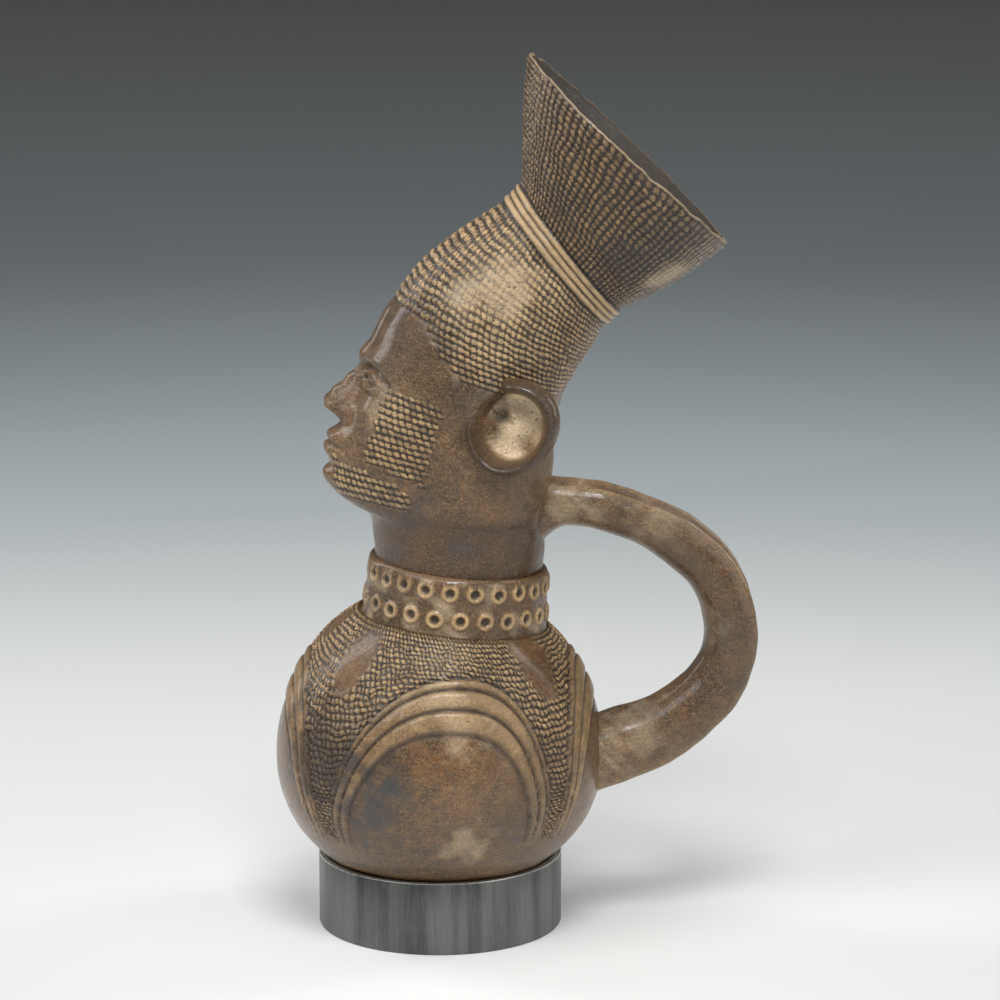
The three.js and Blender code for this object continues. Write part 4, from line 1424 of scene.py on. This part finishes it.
class WineVesselStage(PropertyGroup):
    key: power_setting("Key light", "Power of the large light on the left", 10.5)
    fill: power_setting("Fill light", "Power of the large light on the right", 4.5)
    top: power_setting("Top light", "Power of the light overhead", 10.5)
    edge: power_setting("Edge lights", "Power of the two strip lights behind", 3.5)
    room: FloatProperty(
        name="Room", description="Strength of the soft light from all round", default=0.56, min=0.0
    )
    camera_distance: length_setting(
        "Camera distance", "From the object's middle plane to the camera", 1.5
    )
    camera_height: length_setting("Camera height", "From the floor to the camera", 0.49)
    camera_offset: FloatProperty(
        name="Camera offset",
        description="How far the camera is to the right of the ring's middle",
        default=0.0247,
        unit="LENGTH",
    )
    camera_pitch: FloatProperty(
        name="Camera pitch",
        description="How far the camera looks down",
        default=math.radians(11.8),
        subtype="ANGLE",
    )
    lens: FloatProperty(
        name="Lens", description="Focal length on a 36 mm sensor, in millimetres", default=136.1
    )


def clay_piece(name, sheet, columns, wrap, scene):
    """A piece of the jar with its clay on it."""
    piece = wrapped_piece(name, sheet, columns, wrap)
    clay = bpy.data.materials.get("Burnished clay") or clay_material(scene.wine_vessel_colours)
    piece.data.materials.append(clay)
    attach(piece, "root")
    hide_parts("vessel")
    return piece


class WINEVESSEL_OT_body(Operator):
    """Builds the hollow belly with its carved arches and its stamped collar"""

    bl_idname = "wine_vessel.body"
    bl_label = "Belly and Collar"

    def execute(self, context):
        rows = BODY_ROWS
        zones = (
            (rows["under"][0], rows["belly"][0], 1, 0),
            (rows["belly"][0], rows["belly"][1], 2, 2),
            (rows["fillet"][0], rows["collar"][1], 2, 3),
            (rows["edge"][0], rows["ledge"][0], 2, 1),
        )
        sheet = flat_sheet(BELLY_COLUMNS, rows["floor"][1], zones)
        sizes = context.scene.wine_vessel_sizes
        clay_piece("jar_belly", sheet, BELLY_COLUMNS, body_wrap(sizes), context.scene)
        return {"FINISHED"}


class WINEVESSEL_OT_head(Operator):
    """Builds the hollow head, its cords and the flared hairdress that is the mouth"""

    bl_idname = "wine_vessel.head"
    bl_label = "Head and Hairdress"

    def execute(self, context):
        rows = HEAD_ROWS
        zones = (
            (rows["neck"][0] + 0.4, rows["neck"][1], 3, 1),
            (rows["face"][0], rows["face"][0] + 3, 3, 2),
            (rows["face"][0] + 3, rows["face"][0] + 25, 3, 3),
            (rows["face"][0] + 25, rows["lip"][1], 3, 2),
        )
        sheet = flat_sheet(HEAD_COLUMNS, rows["root"][1], zones)
        sizes = context.scene.wine_vessel_sizes
        clay_piece("jar_head", sheet, HEAD_COLUMNS, head_wrap(sizes), context.scene)
        return {"FINISHED"}


class WINEVESSEL_OT_ears(Operator):
    """Builds the two dished ears"""

    bl_idname = "wine_vessel.ears"
    bl_label = "Ears"

    def execute(self, context):
        for name, side in (("ear_near", -1), ("ear_far", 1)):
            sheet = flat_sheet(EAR_COLUMNS, EAR_ROWS, ((0, EAR_ROWS, 1, 1),))
            clay_piece(name, sheet, EAR_COLUMNS, ear_wrap(side), context.scene)
        return {"FINISHED"}


class WINEVESSEL_OT_handle(Operator):
    """Builds the loop handle from the nape to the belly"""

    bl_idname = "wine_vessel.handle"
    bl_label = "Handle"

    def execute(self, context):
        sheet = flat_sheet(HANDLE_COLUMNS, HANDLE_ROWS, ())
        sizes = context.scene.wine_vessel_sizes
        clay_piece("jar_handle", sheet, HANDLE_COLUMNS, handle_wrap(sizes), context.scene)
        return {"FINISHED"}


class WINEVESSEL_OT_ring(Operator):
    """Builds the cut metal tube that the jar stands in"""

    bl_idname = "wine_vessel.ring"
    bl_label = "Metal Ring"

    def execute(self, context):
        scene = context.scene
        spun = bmesh.new()
        bmesh.ops.create_grid(spun, x_segments=1, y_segments=1, size=0.5)
        bmesh.ops.scale(spun, vec=(RING_WALL, RING_HEIGHT, 1), verts=spun.verts)
        bmesh.ops.translate(
            spun, vec=(RING_OUTER - RING_WALL / 2, RING_HEIGHT / 2, 0), verts=spun.verts
        )
        upright = Matrix.Rotation(math.radians(90), 3, "X")
        bmesh.ops.rotate(spun, cent=(0, 0, 0), matrix=upright, verts=spun.verts)
        bmesh.ops.bevel(
            spun,
            geom=list(spun.verts),
            offset=RING_EDGE,
            affect="VERTICES",
            segments=2,
            profile=0.5,
            material=-1,
        )
        bmesh.ops.delete(spun, geom=list(spun.faces), context="FACES_ONLY")
        profile = list(spun.verts) + list(spun.edges)
        bmesh.ops.spin(
            spun,
            geom=profile,
            cent=(0, 0, 0),
            axis=(0, 0, 1),
            angle=math.radians(360),
            steps=scene.wine_vessel_sizes.ring_steps,
            use_merge=True,
        )
        bmesh.ops.remove_doubles(spun, verts=spun.verts, dist=1e-4)
        bmesh.ops.recalc_face_normals(spun, faces=spun.faces)
        if any(edge.is_boundary for edge in spun.edges):
            raise RuntimeError("The ring isn't closed")
        bmesh.ops.translate(spun, vec=(RING_AXIS_X, 0, 0), verts=spun.verts)
        bmesh.ops.scale(spun, vec=(MM, MM, MM), verts=spun.verts)
        mesh = bpy.data.meshes.new("metal_ring")
        spun.to_mesh(mesh)
        spun.free()
        mesh.shade_smooth()
        mesh.set_sharp_from_angle(angle=math.radians(25))
        ring = bpy.data.objects.new("metal_ring", mesh)
        scene.collection.objects.link(ring)
        mesh.materials.append(metal_material(scene.wine_vessel_colours))
        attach(ring, "root")
        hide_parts("ring_stand")
        return {"FINISHED"}


class WINEVESSEL_OT_stage(Operator):
    """Builds the paper sweep, the soft lights and the camera"""

    bl_idname = "wine_vessel.stage"
    bl_label = "Stage, Lights and Camera"

    def execute(self, context):
        scene = context.scene
        stage = scene.wine_vessel_stage
        self.make_sweep(scene)
        middle = Vector((0, 0, 0.17))
        lights = (
            ("key_light", (-1.0, -0.8, 1.3), (1.0, 1.0), stage.key),
            ("fill_light", (1.3, -0.9, 0.6), (0.9, 1.3), stage.fill),
            ("top_light", (0.05, -0.75, 1.3), (0.5, 0.4), stage.top),
            ("edge_light_left", (-0.85, 0.4, 0.7), (0.3, 0.9), stage.edge),
            ("edge_light_right", (0.9, 0.35, 0.7), (0.3, 0.9), stage.edge),
        )
        for name, place, size, power in lights:
            data = bpy.data.lights.new(name, "AREA")
            data.shape = "RECTANGLE"
            data.size, data.size_y = size
            data.energy = power
            lamp = bpy.data.objects.new(name, data)
            lamp.location = place
            facing = (middle - lamp.location).to_track_quat("-Z", "Y")
            lamp.rotation_euler = facing.to_euler()
            scene.collection.objects.link(lamp)
        world = bpy.data.worlds.new("Soft room")
        world.use_nodes = True
        background = world.node_tree.nodes["Background"]
        background.inputs["Color"].default_value = (0.85, 0.88, 0.9, 1.0)
        background.inputs["Strength"].default_value = stage.room
        scene.world = world
        scene.view_settings.view_transform = "Standard"
        self.make_camera(scene, stage)
        return {"FINISHED"}

    def make_sweep(self, scene):
        """A round sheet of paper that curves up to a wall all round."""
        flat_radius, curve_radius, paper_length = 1.9, 1.0, 5.0
        sweep = bmesh.new()
        bmesh.ops.create_grid(sweep, x_segments=96, y_segments=60, size=0.5)
        for vertex in sweep.verts:
            turn = 2 * math.pi * (vertex.co.x + 0.5)
            along = paper_length * (vertex.co.y + 0.5)
            past = along - flat_radius
            bend = min(max(past / curve_radius, 0), math.pi / 2)
            beyond = max(past - curve_radius * math.pi / 2, 0)
            radius = min(along, flat_radius) + curve_radius * math.sin(bend)
            z = curve_radius * (1 - math.cos(bend)) + beyond
            vertex.co = Vector((radius * math.cos(turn), radius * math.sin(turn), z))
        bmesh.ops.remove_doubles(sweep, verts=sweep.verts, dist=1e-5)
        bmesh.ops.recalc_face_normals(sweep, faces=sweep.faces)
        mesh = bpy.data.meshes.new("paper_sweep")
        sweep.to_mesh(mesh)
        sweep.free()
        mesh.shade_smooth()
        paper = bpy.data.objects.new("paper_sweep", mesh)
        paper.data.materials.append(stage_material())
        scene.collection.objects.link(paper)

    def make_camera(self, scene, stage):
        data = bpy.data.cameras.new("camera")
        data.lens = stage.lens
        data.sensor_width = 36
        camera = bpy.data.objects.new("camera", data)
        camera_x = RING_AXIS_X * MM + stage.camera_offset
        camera.location = (camera_x, -stage.camera_distance, stage.camera_height)
        camera.rotation_euler = (math.radians(90) - stage.camera_pitch, 0, 0)
        scene.collection.objects.link(camera)
        scene.camera = camera


class WINEVESSEL_PT_panel(Panel):
    """Lists the settings and the pieces"""

    bl_idname = "WINEVESSEL_PT_panel"
    bl_label = "Wine Vessel"
    bl_space_type = "VIEW_3D"
    bl_region_type = "UI"
    bl_category = "Wine Vessel"

    def draw(self, context):
        layout = self.layout
        scene = context.scene
        for group in (scene.wine_vessel_sizes, scene.wine_vessel_colours, scene.wine_vessel_stage):
            box = layout.box()
            for label in group.bl_rna.properties.keys():
                if label not in ("rna_type", "name"):
                    box.prop(group, label)
        for operator in OPERATORS:
            layout.operator(operator.bl_idname)


OPERATORS = (
    WINEVESSEL_OT_body,
    WINEVESSEL_OT_head,
    WINEVESSEL_OT_ears,
    WINEVESSEL_OT_handle,
    WINEVESSEL_OT_ring,
    WINEVESSEL_OT_stage,
)
CLASSES = (WineVesselSizes, WineVesselColours, WineVesselStage, *OPERATORS, WINEVESSEL_PT_panel)


def register():
    for kind in CLASSES:
        bpy.utils.register_class(kind)
    bpy.types.Scene.wine_vessel_sizes = PointerProperty(type=WineVesselSizes)
    bpy.types.Scene.wine_vessel_colours = PointerProperty(type=WineVesselColours)
    bpy.types.Scene.wine_vessel_stage = PointerProperty(type=WineVesselStage)


def unregister():
    del bpy.types.Scene.wine_vessel_stage
    del bpy.types.Scene.wine_vessel_colours
    del bpy.types.Scene.wine_vessel_sizes
    for kind in reversed(CLASSES):
        bpy.utils.unregister_class(kind)


def main():
    register()
    bpy.ops.wine_vessel.body()
    bpy.ops.wine_vessel.head()
    bpy.ops.wine_vessel.ears()
    bpy.ops.wine_vessel.handle()
    bpy.ops.wine_vessel.ring()
    bpy.ops.wine_vessel.stage()


if __name__ == "__main__":
    main()
